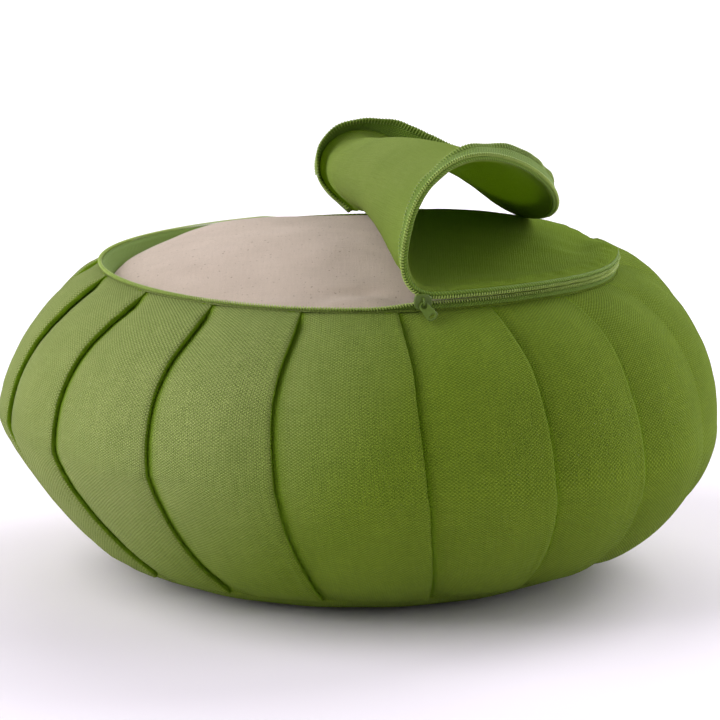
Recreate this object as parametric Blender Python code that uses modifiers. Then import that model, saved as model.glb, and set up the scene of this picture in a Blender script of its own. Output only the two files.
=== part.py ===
# Zafu meditation cushion: a round, filled floor cushion with a pleated side band.
# Its zipped top panel is partly open, and the loose part is lifted and curled over to the right.
# The origin is at the middle of the base, +Z is up, and the front of the cushion faces -Y.
# An azimuth is measured from the front (-Y) towards the right (+X).

import math

import bmesh
import bpy
from mathutils import Matrix, Vector

MM = 0.001

# ---- driving dimensions, in metres ----
BODY_RADIUS = 203.6 * MM          # widest radius of the side band's folds, the puffs reach a little further
WAIST_HEIGHT = 87.0 * MM          # height of the widest place
RIM_RADIUS = 147.0 * MM           # seam between the side band and the top panel
RIM_HEIGHT = 176.0 * MM
RIM_SAG = 4.0 * MM                # the rim is lower on the right
RIM_SAG_AZIMUTH = math.radians(96.0)
BASE_SEAM_RADIUS = 147.0 * MM     # seam between the side band and the base panel
BASE_SEAM_HEIGHT = 14.0 * MM
BASE_FLAT_RADIUS = 104.0 * MM     # flat patch that the cushion rests on
CLOTH = 2.0 * MM                  # canvas with its backing of seam allowances
CLEARANCE = 0.4 * MM              # gap between pieces that touch

# ---- fullness of the sides: a larger exponent is a squarer shoulder ----
SHOULDER_FULLNESS = 2.02
SHOULDER_FULLER_RIGHT = 0.33
FOOT_FULLNESS = 1.68
FOOT_FULLER_RIGHT = 0.19
WAIST_LOWER_RIGHT = 3.6 * MM
SHOULDER_OVERSHOOT = 1.10         # height of the full quarter arc over the height that is used
FOOT_OVERSHOOT = 1.14

# ---- pleats of the side band ----
# Each fold: azimuth below the shoulder, and how far it leans on at the rim (degrees).
PLEAT_FOLDS = (
    (-79.0, 4.5), (-57.7, 4.7), (-35.6, 2.8), (-14.0, 1.8), (9.5, -1.0), (30.8, -1.3), (49.8, 0.6), (70.8, 2.0),
    (93.0, 2.0), (116.5, 1.0), (140.0, 0.5), (163.5, 1.5), (187.0, 0.5), (210.5, 1.0), (234.0, 2.0), (257.5, 3.0),
)
# Share of the way down: sweep of every fold (degrees), share of its lean at the rim.
FOLD_SWEEP = (
    (0.0, 0.0, 1.0),
    (0.075, 0.0, 0.85),
    (0.145, 0.0, 0.45),
    (0.2, 0.0, 0.15),
    (0.3, 0.0, 0.0),
    (0.5, 1.1, 0.0),
    (0.7, 2.4, 0.0),
    (0.85, 4.2, 0.0),
    (1.0, 6.2, 0.0),
)
PLEATS = len(PLEAT_FOLDS)
BAND_ROWS = 12
GORE_PUFF = 2.2 * MM
FOLD_DEEPENING = 0.2              # share by which the folds gape below the rim
SEAM_FLATTENING = 0.5             # share by which they are pressed flat in the seams
PLEAT_FALL = 8.5 * MM             # from the pleat's fold to the inner face, all layers

# Outer face of one gore: share of the run between folds, shift along the run (mm), height (mm).
# It starts tucked under the fold before it, and ends in its own fold, which laps over the next gore.
GORE_OUTSIDE = (
    (0.00, -6.0, -5.2),
    (0.00, 1.2, -5.0),
    (0.12, 0.0, -3.4),
    (0.36, 0.0, -0.9),
    (0.66, 0.0, 0.4),
    (0.90, 0.0, 0.5),
    (1.00, -1.6, 0.0),
    (1.00, 0.0, -1.3),
    (1.00, -1.8, -2.6),
    (1.00, -6.0, -3.2),
)
GORE_RUN = (2, 5)                 # first and last column of the plain run, which the inner face has too
# Inner face of one gore, same columns.
GORE_INSIDE = (
    (0.00, -6.0, -7.6),
    (0.12, 0.0, -6.2),
    (0.36, 0.0, -3.8),
    (0.66, 0.0, -2.4),
    (0.88, 0.0, -2.6),
    (1.00, -9.5, -5.8),
)

# ---- fill under the top ----
TOP_EDGE_HEIGHT = 171.0 * MM
TOP_DOME = 22.0 * MM
SHOULDER_LUMP = 6.5 * MM
LUMP_PLACE = Vector((66.0 * MM, 38.0 * MM))
LUMP_SPREAD = 42.0 * MM
LEFT_DIP = 4.0 * MM               # the fill has sunk beside the rim on the left
LEFT_DIP_AZIMUTH = math.radians(-98.0)
LEFT_DIP_START = 0.6              # share of the radius at which it begins

# ---- base panel and inner cushion ----
BASE_SINK = 0.6 * MM              # base panel's edge below the side band's seam
BASE_INSET = 1.6 * MM             # and inside it
BASE_EDGE_CHAMFER = 0.6 * MM      # upper face set in at the edge
BASE_BEND = 1.8                   # how late the panel curves up
BASE_STEPS = 40
CASING_SIDES = 48
CASING_FOOT_RADII = (40.0 * MM, 80.0 * MM)
CASING_FOOT_TURN = (124.0 * MM, 4.6 * MM)   # radius and rise where the casing leaves the base panel
CASING_TOP_RADII = (134.0 * MM, 125.0 * MM, 108.0 * MM, 84.0 * MM, 56.0 * MM, 28.0 * MM)

# ---- zip ----
FOLD_FRONT_END = math.radians(15.8)   # the top panel is folded back from here to the back end
ZIP_CLOSED_END = math.radians(92.0)
ZIP_OPEN_END = math.radians(-168.0)
FOLD_BACK_END = math.radians(181.0)
SEAM_ONSET = math.radians(4.0)    # past the zip's closed end the edge sinks to the plain seam
SEAM_SETTLED = math.radians(16.0)
COIL_RADIUS = 1.15 * MM
COIL_OVERHANG = 1.4 * MM          # upper coil beyond the top panel's edge
COIL_GAP = 0.5 * MM               # upper coil to the cloth above it
ZIP_STEPS = 80

# ---- slider and pull tab ----
SLIDER_AZIMUTH = math.radians(13.4)
SLIDER_RADIUS = 150.8 * MM        # middle of its plate, just outside the coils
SLIDER_HEIGHT = 182.2 * MM
SLIDER_LENGTH = 10.0 * MM
SLIDER_WIDTH = 8.6 * MM
SLIDER_PLATE = 1.6 * MM
SLIDER_BEVEL = 0.35 * MM
CROWN_HALF = 2.1 * MM
CROWN_HEIGHT = 3.2 * MM
CROWN_WIRE = 0.6 * MM
PULL_LENGTH = 7.0 * MM            # from the head hole to the foot hole
PULL_HEAD = 2.7 * MM
PULL_FOOT = 3.3 * MM
PULL_PLATE = 1.1 * MM
PULL_HOLE = 1.6 * MM
PULL_BEVEL = 0.25 * MM
FOOT_HOLE_HALF_WIDTH = 1.7 * MM
FOOT_HOLE_HALF_HEIGHT = 1.0 * MM
PULL_STANDOFF = 2.3 * MM
PULL_LEAN = math.radians(-34.0)
PULL_SWING = math.radians(36.0)
TAPE_THICKNESS = 1.0 * MM
LOWER_TAPE_FOOT = 174.7 * MM
LOWER_TAPE_FOOT_RADIUS = 144.6 * MM
LOWER_TAPE_HEAD_RADIUS = 146.0 * MM
LOWER_COIL_RADIUS = 147.2 * MM
LOWER_COIL_HEIGHT = 180.9 * MM
LOWER_COIL_DROP = 2.7 * MM        # where the zip is open
PANEL_EDGE_OVER_ZIP = 189.4 * MM   # before the margin rolls down
PANEL_EDGE_OVER_SEAM = 180.9 * MM
FLANGE_WIDTH = 10.0 * MM          # tape and allowance that stand out from the flap's edge
HIDDEN_TAPE_WIDTH = 4.0 * MM
FLANGE_ONSET = math.radians(14.0)  # stretch of edge beside the slider over which the flange turns out
LIP_WIDTH = 11.0 * MM             # margin of the top panel that rolls to its wrong side
LIP_DROP = 3.0 * MM

# Section of the curled flap, read across the fold: distance from the fold (mm), the direction in which
# the cloth runs (degrees, 180 is level to the left, 90 straight up), and how far that direction turns
# on from the middle of the fold to its back end (degrees).
FLAP_SECTION = (
    (0.0, 180.0, 0.0),
    (18.0, 111.0, 8.0),
    (50.0, 53.0, -14.0),
    (80.0, 3.0, -34.0),
    (110.0, -23.0, -18.0),
    (145.0, -50.0, -20.0),
    (195.0, -80.0, -31.0),
)
# The flap's edge: azimuth on the flat disc (degrees), lean of the flange of tape and allowance (degrees,
# 0 lies on the wrong side of the cloth, 90 stands square to it), roll of the margin to its wrong side (mm).
FLAP_EDGE = (
    (-200.0, 10.0, 1.0),
    (-172.0, 12.0, 2.0),
    (-160.0, 55.0, 3.0),
    (-150.0, 62.0, 3.0),
    (-138.0, 88.0, 3.0),
    (-128.0, 78.0, 3.0),
    (-108.0, 24.0, 1.0),
    (-70.0, 22.0, 0.3),
    (-52.0, 40.0, 0.3),
    (-30.0, 44.0, 0.3),
    (-18.0, 28.0, 0.3),
    (0.0, 14.0, 0.3),
    (16.0, 8.0, 0.3),
)
FLAP_SETTLE = 7.2 * MM            # drop of the curl behind its rise, in the middle of the fold
FLAP_RISE = 40.0 * MM             # run of the cloth in which it settles
FLAP_STEPS = 48                   # steps of the walk along the section
FLAT_PROBE = 0.8 * MM             # steps on the flat disc from which the cloth's normals are read
EDGE_PROBE = 1.5 * MM
EDGE_PROBE_TURN = math.radians(0.5)
PANEL_ROWS = 16                   # rows of the top panel from its middle to each end
PANEL_COLUMNS = 34

COLLECTION_NAME = "zafu_cushion"


# ---- helpers ----

def clear_scene():
    for item in list(bpy.data.objects):
        bpy.data.objects.remove(item, do_unlink=True)


def make_material(name, colour, roughness, metallic=0.0):
    material = bpy.data.materials.new(name)
    material.use_nodes = True
    shader = material.node_tree.nodes["Principled BSDF"]
    shader.inputs["Base Color"].default_value = (*colour, 1.0)
    shader.inputs["Roughness"].default_value = roughness
    shader.inputs["Metallic"].default_value = metallic
    material.diffuse_color = (*colour, 1.0)
    return material


def add_object(name, data, material, collection):
    data.materials.append(material)
    item = bpy.data.objects.new(name, data)
    collection.objects.link(item)
    return item


def mesh_from(name, points, faces):
    mesh = bpy.data.meshes.new(name)
    mesh.from_pydata([tuple(point) for point in points], [], faces)
    work = bmesh.new()
    work.from_mesh(mesh)
    bmesh.ops.recalc_face_normals(work, faces=work.faces)
    work.to_mesh(mesh)
    work.free()
    mesh.shade_smooth()
    mesh.set_sharp_from_angle(angle=math.radians(40.0))
    return mesh


def smooth_step(low, high, value):
    share = min(1.0, max(0.0, (value - low) / (high - low)))
    return share * share * (3.0 - 2.0 * share)


def read_table(table, column, place):
    # Cubic curve through one column of a short table, against its first column.
    last = len(table) - 1
    place = min(max(place, table[0][0]), table[last][0])
    index = 0
    while index < last - 1 and place > table[index + 1][0]:
        index += 1

    def slope(row):
        low = max(row - 1, 0)
        high = min(row + 1, last)
        return (table[high][column] - table[low][column]) / (table[high][0] - table[low][0])

    span = table[index + 1][0] - table[index][0]
    share = (place - table[index][0]) / span
    start, end = table[index][column], table[index + 1][column]
    out, into = slope(index) * span, slope(index + 1) * span
    square, cube = share ** 2, share ** 3
    return ((2 * cube - 3 * square + 1) * start + (cube - 2 * square + share) * out
            + (3 * square - 2 * cube) * end + (cube - square) * into)


def around(radius, azimuth, height):
    return Vector((radius * math.sin(azimuth), -radius * math.cos(azimuth), height))


# ---- shape of the filled body ----

def rim_sag(azimuth):
    return RIM_SAG * max(0.0, math.cos(azimuth - RIM_SAG_AZIMUTH)) ** 4


def side_profile(azimuth, share):
    # Radius and height on the side, share 0 at the rim, 0.5 at the waist and 1 at the base seam.
    rightness = math.sin(azimuth)
    waist = WAIST_HEIGHT - WAIST_LOWER_RIGHT * rightness
    if share < 0.5:
        fullness = SHOULDER_FULLNESS + SHOULDER_FULLER_RIGHT * rightness
        reach = RIM_HEIGHT - rim_sag(azimuth) - waist
        seam_radius, overshoot = RIM_RADIUS, SHOULDER_OVERSHOOT
        part = 1.0 - share * 2.0
    else:
        fullness = FOOT_FULLNESS + FOOT_FULLER_RIGHT * rightness
        reach = BASE_SEAM_HEIGHT - waist
        seam_radius, overshoot = BASE_SEAM_RADIUS, FOOT_OVERSHOOT
        part = share * 2.0 - 1.0
    last_turn = math.asin(overshoot ** (-fullness / 2.0))
    turn = last_turn * part
    drawn_in = (BODY_RADIUS - seam_radius) / (1.0 - math.cos(last_turn) ** (2.0 / fullness))
    radius = BODY_RADIUS - drawn_in * (1.0 - math.cos(turn) ** (2.0 / fullness))
    height = waist + reach * overshoot * math.sin(turn) ** (2.0 / fullness)
    return radius, height


def side_point(azimuth, share, out):
    # Point on the side, moved out along the profile's normal.
    step = 0.01
    radius, height = side_profile(azimuth, share)
    upper = side_profile(azimuth, max(share - step, 0.0))
    lower = side_profile(azimuth, min(share + step, 1.0))
    run = Vector((lower[0] - upper[0], lower[1] - upper[1])).normalized()
    return around(radius - run.y * out, azimuth, height + run.x * out)


def top_fill_height(x, y):
    # Height of the filled casing under the top panel.
    ratio = math.hypot(x, y) / RIM_RADIUS
    lump = (Vector((x, y)) - LUMP_PLACE).length / LUMP_SPREAD
    towards_dip = (x * math.sin(LEFT_DIP_AZIMUTH) - y * math.cos(LEFT_DIP_AZIMUTH)) / RIM_RADIUS
    dip = LEFT_DIP * smooth_step(LEFT_DIP_START, 1.0, towards_dip)
    swell = SHOULDER_LUMP * math.exp(-0.5 * lump ** 2) * (1.0 - min(ratio, 1.0) ** 4)
    return TOP_EDGE_HEIGHT + TOP_DOME * (1.0 - ratio ** 2) + swell - dip


# ---- side band ----

def fold_opening(share):
    # How far the folds gape, 1 a little below the rim and 0 past the shoulder.
    return smooth_step(0.03, 0.10, share) * (1.0 - smooth_step(0.14, 0.32, share))


def fold_azimuth(pleat, share):
    azimuth, lean = PLEAT_FOLDS[pleat]
    return math.radians(azimuth + read_table(FOLD_SWEEP, 1, share) + lean * read_table(FOLD_SWEEP, 2, share))


def gore_row(share, table, deepening):
    # One closed ring of the band's outer or inner face. The pleats are pressed flatter in the seams,
    # and the outer face's folds stand out most below the rim.
    radius = side_profile(0.0, share)[0]
    in_seam = min(smooth_step(0.0, 0.10, share), smooth_step(0.0, 0.06, 1.0 - share))
    depth = 1.0 - SEAM_FLATTENING * (1.0 - in_seam) + deepening * fold_opening(share)
    puff = GORE_PUFF * in_seam
    ring = []
    for pleat in range(PLEATS):
        end = fold_azimuth(pleat, share)
        pitch = (end - fold_azimuth(pleat - 1, share)) % math.tau
        for run, shift, height in table:
            azimuth = end - pitch * (1.0 - run) + shift * MM / radius
            swell = puff * math.sin(math.pi * run) ** 0.8 if 0.0 < run < 1.0 else 0.0
            ring.append(side_point(azimuth, share, height * MM * depth + swell))
    return ring


def build_side_band(material, collection):
    outside = len(GORE_OUTSIDE)
    inside = len(GORE_INSIDE)
    points = []
    for row in range(BAND_ROWS + 1):
        share = row / BAND_ROWS
        points += gore_row(share, GORE_OUTSIDE, FOLD_DEEPENING)
        points += gore_row(share, GORE_INSIDE, 0.0)
    ring_size = PLEATS * (outside + inside)
    faces = []
    for row in range(BAND_ROWS):
        for first, count in ((0, PLEATS * outside), (PLEATS * outside, PLEATS * inside)):
            here = row * ring_size + first
            below = here + ring_size
            for k in range(count):
                following = (k + 1) % count
                faces.append((here + k, here + following, below + following, below + k))
    for row in (0, BAND_ROWS):
        base = row * ring_size
        inner_base = base + PLEATS * outside
        for pleat in range(PLEATS):
            outer = [base + (pleat * outside + k) % (PLEATS * outside) for k in range(outside + 3)]
            inner = [inner_base + (pleat * inside + k) % (PLEATS * inside) for k in range(inside + 2)]
            for k in range(GORE_RUN[0], GORE_RUN[1]):
                faces.append((outer[k], outer[k + 1], inner[k], inner[k - 1]))
            fold = outer[GORE_RUN[1]:] + inner[GORE_RUN[1] - 1:][::-1]
            faces.append(tuple(fold))
    mesh = mesh_from("side_band", points, faces)
    return add_object("side_band", mesh, material, collection)


# ---- base panel ----

def build_base_panel(material, collection):
    # A turned sheet: flat where it rests, curved up to the seam of the side band.
    rise = BASE_SEAM_HEIGHT - BASE_SINK
    reach = BASE_SEAM_RADIUS - BASE_INSET
    bend_steps = 3
    lower = [(0.0, 0.0), (BASE_FLAT_RADIUS, 0.0)]
    for step in range(1, bend_steps + 1):
        part = step / bend_steps
        lower.append((BASE_FLAT_RADIUS + (reach - BASE_FLAT_RADIUS) * part, rise * part ** BASE_BEND))
    upper = [(max(radius - BASE_EDGE_CHAMFER, 0.0), height + CLOTH) for radius, height in lower]
    outline = upper + lower[::-1]
    mesh = bpy.data.meshes.new("base_panel")
    mesh.from_pydata([(radius, 0.0, height) for radius, height in outline],
                     [(k, k + 1) for k in range(len(outline) - 1)], [])
    base = add_object("base_panel", mesh, material, collection)
    turn = base.modifiers.new("turn", "SCREW")
    turn.axis = "Z"
    turn.angle = math.tau
    turn.steps = BASE_STEPS
    turn.render_steps = BASE_STEPS
    turn.use_merge_vertices = True
    turn.merge_threshold = 0.01 * MM
    turn.use_smooth_shade = True
    return base


# ---- inner cushion ----

def build_inner_cushion(material, collection):
    sides = CASING_SIDES
    foot_radii = (*CASING_FOOT_RADII, BASE_FLAT_RADIUS)
    turn_radius, turn_rise = CASING_FOOT_TURN
    floor = CLOTH + CLEARANCE
    rings = []
    for radius in foot_radii:
        rings.append([around(radius, math.tau * k / sides, floor) for k in range(sides)])
    rings.append([around(turn_radius, math.tau * k / sides, floor + turn_rise) for k in range(sides)])
    side_shares = (0.985, 0.93, 0.86, 0.78, 0.69, 0.59, 0.49, 0.39, 0.29, 0.20, 0.13, 0.08)
    for share in side_shares:
        rings.append([side_point(math.tau * k / sides, share, -PLEAT_FALL) for k in range(sides)])
    for radius in CASING_TOP_RADII:
        ring = []
        for k in range(sides):
            point = around(radius, math.tau * k / sides, 0.0)
            point.z = top_fill_height(point.x, point.y)
            ring.append(point)
        rings.append(ring)
    points = [point for ring in rings for point in ring]
    bottom = len(points)
    points.append(Vector((0.0, 0.0, floor)))
    points.append(Vector((0.0, 0.0, top_fill_height(0.0, 0.0))))
    faces = []
    for row in range(len(rings) - 1):
        for k in range(sides):
            following = (k + 1) % sides
            faces.append((row * sides + k, row * sides + following,
                          (row + 1) * sides + following, (row + 1) * sides + k))
    last = (len(rings) - 1) * sides
    for k in range(sides):
        following = (k + 1) % sides
        faces.append((bottom, following, k))
        faces.append((bottom + 1, last + k, last + following))
    mesh = mesh_from("inner_cushion", points, faces)
    return add_object("inner_cushion", mesh, material, collection)


# ---- top panel: one disc, part lying and part curled up ----

def fold_frame():
    # The straight fold from the front to the back: its middle, its direction, the lying side, its half length.
    front = around(RIM_RADIUS, FOLD_FRONT_END, 0.0)
    back = around(RIM_RADIUS, FOLD_BACK_END, 0.0)
    middle = (front + back) / 2.0
    towards_back = (back - front).normalized()
    towards_lying = Vector((towards_back.y, -towards_back.x, 0.0))
    return middle, towards_back, towards_lying, (back - front).length / 2.0


FOLD_MIDDLE, FOLD_RUN, FOLD_SIDE, FOLD_HALF = fold_frame()


def lying_height(x, y):
    # Middle of the cloth where the top panel lies on the fill, up to its seam or zip.
    ratio = min(math.hypot(x, y) / RIM_RADIUS, 1.05)
    azimuth = math.atan2(x, -y)
    over_seam = smooth_step(ZIP_CLOSED_END + SEAM_ONSET, ZIP_CLOSED_END + SEAM_SETTLED,
                            azimuth % math.tau)
    edge = PANEL_EDGE_OVER_ZIP + (PANEL_EDGE_OVER_SEAM - PANEL_EDGE_OVER_ZIP) * over_seam
    rim_fill = top_fill_height(*around(RIM_RADIUS, azimuth, 0.0).xy)
    rise = edge - rim_sag(azimuth) - rim_fill - CLOTH
    return top_fill_height(x, y) + CLOTH + rise * ratio ** 5


def panel_place(flat_x, flat_y):
    # Where a point of the flat disc goes. Points left of the fold follow the curled section.
    flat = Vector((flat_x, flat_y, 0.0)) - FOLD_MIDDLE
    across = flat.dot(FOLD_RUN)
    beyond = -flat.dot(FOLD_SIDE)
    if beyond <= 0.0:
        return Vector((flat_x, flat_y, lying_height(flat_x, flat_y)))
    root = FOLD_MIDDLE + FOLD_RUN * across
    height = lying_height(root.x, root.y)
    turn_share = across / FOLD_HALF
    height -= FLAP_SETTLE * (1.0 - turn_share ** 2) * smooth_step(0.0, FLAP_RISE, beyond)
    step = beyond / FLAP_STEPS
    level = 0.0
    for k in range(FLAP_STEPS):
        place = (k + 0.5) * step / MM
        direction = math.radians(read_table(FLAP_SECTION, 1, place)
                                 + read_table(FLAP_SECTION, 2, place) * turn_share)
        level += math.cos(direction) * step
        height += math.sin(direction) * step
    return root + FOLD_SIDE * level + Vector((0.0, 0.0, height))


def openness(azimuth):
    # 0 where the top panel's edge is zipped or sewn down, 1 along the open flap.
    turn = (azimuth - FOLD_BACK_END) % math.tau + FOLD_BACK_END - math.tau
    lying = smooth_step(FOLD_FRONT_END - FLANGE_ONSET, FOLD_FRONT_END, turn)
    return 1.0 - lying * smooth_step(FOLD_BACK_END, FOLD_BACK_END - FLANGE_ONSET, turn)


def panel_frame(flat_x, flat_y):
    # Place and wrong-side normal of the cloth at a point of the flat disc.
    step = FLAT_PROBE
    here = panel_place(flat_x, flat_y)
    along_x = panel_place(flat_x + step, flat_y) - panel_place(flat_x - step, flat_y)
    along_y = panel_place(flat_x, flat_y + step) - panel_place(flat_x, flat_y - step)
    return here, -along_x.cross(along_y).normalized()


def panel_point(flat_x, flat_y):
    # As panel_place, with the margin rolled a little to the wrong side.
    here, wrong_side = panel_frame(flat_x, flat_y)
    margin = RIM_RADIUS - math.hypot(flat_x, flat_y)
    roll = max(0.0, 1.0 - margin / LIP_WIDTH) ** 2
    azimuth = math.atan2(flat_x, -flat_y)
    loose_drop = read_table(FLAP_EDGE, 2, math.degrees(azimuth)) * MM
    drop = LIP_DROP + (loose_drop - LIP_DROP) * openness(azimuth)
    return here + wrong_side * drop * roll


def column_place(column):
    # Columns stand closer together near the fold.
    share = column / PANEL_COLUMNS
    wave = math.sin(math.tau * (share - 0.08)) + math.sin(math.tau * 0.08)
    return -1.0 + 2.0 * (share - 0.09 * wave)


def build_top_panel(material, collection):
    points = []
    rows = []
    for row in range(-PANEL_ROWS, PANEL_ROWS + 1):
        across = RIM_RADIUS * math.sin(0.5 * math.pi * row / PANEL_ROWS)
        half = math.sqrt(max(RIM_RADIUS ** 2 - across ** 2, 0.0))
        line = []
        columns = [0] if abs(row) == PANEL_ROWS else range(PANEL_COLUMNS + 1)
        for column in columns:
            flat = FOLD_RUN * across - FOLD_SIDE * half * column_place(column)
            line.append(len(points))
            points.append(panel_point(flat.x, flat.y))
        rows.append(line)
    faces = []
    for near, far in zip(rows, rows[1:]):
        for k in range(PANEL_COLUMNS):
            if len(near) == 1:
                faces.append((near[0], far[k + 1], far[k]))
            elif len(far) == 1:
                faces.append((near[k], near[k + 1], far[0]))
            else:
                faces.append((near[k], near[k + 1], far[k + 1], far[k]))
    mesh = mesh_from("top_panel", points, faces)
    panel = add_object("top_panel", mesh, material, collection)
    body = panel.modifiers.new("cloth", "SOLIDIFY")
    body.thickness = CLOTH
    body.offset = 0.0
    body.use_even_offset = False
    return panel


# ---- zip ----

def edge_frame(azimuth):
    # The top panel's edge: place, outward in the cloth, and wrong-side normal.
    step = EDGE_PROBE_TURN
    inner = panel_point(*around(RIM_RADIUS - EDGE_PROBE, azimuth, 0.0).xy)
    edge = panel_point(*around(RIM_RADIUS, azimuth, 0.0).xy)
    before = panel_point(*around(RIM_RADIUS, azimuth - step, 0.0).xy)
    after = panel_point(*around(RIM_RADIUS, azimuth + step, 0.0).xy)
    along = (after - before).normalized()
    outward = edge - inner
    outward = (outward - along * outward.dot(along)).normalized()
    return edge, outward, along.cross(outward)


def upper_coil_point(azimuth):
    edge, outward, wrong_side = edge_frame(azimuth)
    return edge + outward * COIL_OVERHANG + wrong_side * (CLOTH / 2.0 + COIL_GAP + COIL_RADIUS)


def lower_coil_point(azimuth):
    height = LOWER_COIL_HEIGHT - rim_sag(azimuth) - LOWER_COIL_DROP * openness(azimuth)
    return around(LOWER_COIL_RADIUS, azimuth, height)


def zip_azimuths():
    return [ZIP_CLOSED_END + (ZIP_OPEN_END - ZIP_CLOSED_END) * k / ZIP_STEPS for k in range(ZIP_STEPS + 1)]


def build_tube(name, route, radius, material, collection):
    curve = bpy.data.curves.new(name, "CURVE")
    curve.dimensions = "3D"
    spline = curve.splines.new("POLY")
    spline.points.add(len(route) - 1)
    for knot, point in zip(spline.points, route):
        knot.co = (*point, 1.0)
    curve.bevel_depth = radius
    curve.bevel_resolution = 1
    curve.use_fill_caps = True
    return add_object(name, curve, material, collection)


def build_strip(name, sections, material, collection):
    # A flat strip: each section is its four corners, in order round the strip.
    points = [corner for section in sections for corner in section]
    faces = [(3, 2, 1, 0)]
    for k in range(len(sections) - 1):
        for side in range(4):
            following = (side + 1) % 4
            faces.append((k * 4 + side, k * 4 + following, k * 4 + 4 + following, k * 4 + 4 + side))
    last = (len(sections) - 1) * 4
    faces.append((last, last + 1, last + 2, last + 3))
    mesh = mesh_from(name, points, faces)
    return add_object(name, mesh, material, collection)


def build_zip(tape, coil, collection):
    half = TAPE_THICKNESS / 2.0
    lower_sections = []
    upper_sections = []
    for azimuth in zip_azimuths():
        foot = LOWER_TAPE_FOOT - rim_sag(azimuth)
        head = lower_coil_point(azimuth).z - COIL_RADIUS - CLEARANCE
        lower_sections.append([around(LOWER_TAPE_FOOT_RADIUS + half, azimuth, foot),
                               around(LOWER_TAPE_FOOT_RADIUS - half, azimuth, foot),
                               around(LOWER_TAPE_HEAD_RADIUS - half, azimuth, head),
                               around(LOWER_TAPE_HEAD_RADIUS + half, azimuth, head)])
        _, outward, wrong_side = edge_frame(azimuth)
        start = upper_coil_point(azimuth)
        open_share = openness(azimuth)
        tilt = math.radians(read_table(FLAP_EDGE, 1, math.degrees(azimuth)))
        run = wrong_side * math.sin(tilt) - outward * math.cos(tilt)
        flat = wrong_side * math.cos(tilt) + outward * math.sin(tilt)
        width = HIDDEN_TAPE_WIDTH + (FLANGE_WIDTH - HIDDEN_TAPE_WIDTH) * open_share
        near = start + run * (COIL_RADIUS + CLEARANCE)
        far = near + run * width
        upper_sections.append([near - flat * half, near + flat * half, far + flat * half, far - flat * half])
    build_strip("zip_tape_lower", lower_sections, tape, collection)
    build_strip("zip_tape_upper", upper_sections, tape, collection)
    azimuths = zip_azimuths()
    build_tube("zip_coil_lower", [lower_coil_point(a) for a in azimuths], COIL_RADIUS, coil, collection)
    build_tube("zip_coil_upper", [upper_coil_point(a) for a in azimuths], COIL_RADIUS, coil, collection)


# ---- slider and its pull tab ----

def flat_outline(name, outlines, thickness, rounding):
    # A flat plate from closed outlines, the first outside and the others holes, as a mesh.
    curve = bpy.data.curves.new(name, "CURVE")
    curve.dimensions = "2D"
    curve.fill_mode = "BOTH"
    for outline in outlines:
        spline = curve.splines.new("POLY")
        spline.points.add(len(outline) - 1)
        for knot, (x, y) in zip(spline.points, outline):
            knot.co = (x, y, 0.0, 1.0)
        spline.use_cyclic_u = True
    curve.extrude = thickness / 2.0 - rounding
    curve.bevel_depth = rounding
    curve.bevel_resolution = 0
    curve.offset = -rounding
    return mesh_of_curve(name, curve)


def mesh_of_curve(name, curve):
    guide = bpy.data.objects.new(name + "_guide", curve)
    bpy.context.scene.collection.objects.link(guide)
    view = bpy.context.evaluated_depsgraph_get()
    mesh = bpy.data.meshes.new_from_object(guide.evaluated_get(view))
    bpy.data.objects.remove(guide, do_unlink=True)
    work = bmesh.new()
    work.from_mesh(mesh)
    bmesh.ops.remove_doubles(work, verts=work.verts, dist=0.005 * MM)
    bmesh.ops.recalc_face_normals(work, faces=work.faces)
    work.to_mesh(mesh)
    work.free()
    mesh.name = name
    mesh.materials.clear()
    mesh.shade_smooth()
    mesh.set_sharp_from_angle(angle=math.radians(35.0))
    return mesh


def rounded_loop(half_length, half_width, taper, count):
    # A rounded outline, narrower towards +X by the taper.
    loop = []
    for k in range(count):
        turn = math.tau * k / count
        x = half_length * math.copysign(abs(math.cos(turn)) ** 0.7, math.cos(turn))
        y = half_width * math.copysign(abs(math.sin(turn)) ** 0.7, math.sin(turn))
        loop.append((x, y * (1.0 - taper * x / half_length)))
    return loop


def slider_frame():
    # Local X runs along the zip to the right, Y up and Z out of the cushion.
    along = Vector((math.cos(SLIDER_AZIMUTH), math.sin(SLIDER_AZIMUTH), 0.0))
    out = around(1.0, SLIDER_AZIMUTH, 0.0)
    frame = Matrix((along, Vector((0.0, 0.0, 1.0)), out)).transposed().to_4x4()
    frame.translation = around(SLIDER_RADIUS, SLIDER_AZIMUTH, SLIDER_HEIGHT)
    return frame


def build_slider(metal, collection, cutters):
    body = flat_outline("zip_slider", [rounded_loop(SLIDER_LENGTH / 2.0, SLIDER_WIDTH / 2.0, 0.12, 28)],
                        SLIDER_PLATE, SLIDER_BEVEL)
    slider = add_object("zip_slider", body, metal, collection)
    slider.matrix_world = slider_frame()
    crown = bpy.data.curves.new("crown", "CURVE")
    crown.dimensions = "3D"
    spline = crown.splines.new("POLY")
    steps = 8
    spline.points.add(steps)
    for k, knot in enumerate(spline.points):
        turn = math.pi * k / steps
        knot.co = (0.0, -CROWN_HALF * math.cos(turn), CROWN_HEIGHT * math.sin(turn) ** 0.7, 1.0)
    crown.bevel_depth = CROWN_WIRE
    crown.bevel_resolution = 1
    crown.use_fill_caps = True
    arch = bpy.data.objects.new("crown", mesh_of_curve("crown", crown))
    cutters.objects.link(arch)
    arch.matrix_world = slider_frame() @ Matrix.Translation((0.0, 0.0, SLIDER_PLATE / 4.0))
    arch.hide_render = True
    arch.display_type = "WIRE"
    join = slider.modifiers.new("crown", "BOOLEAN")
    join.operation = "UNION"
    join.object = arch


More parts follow.
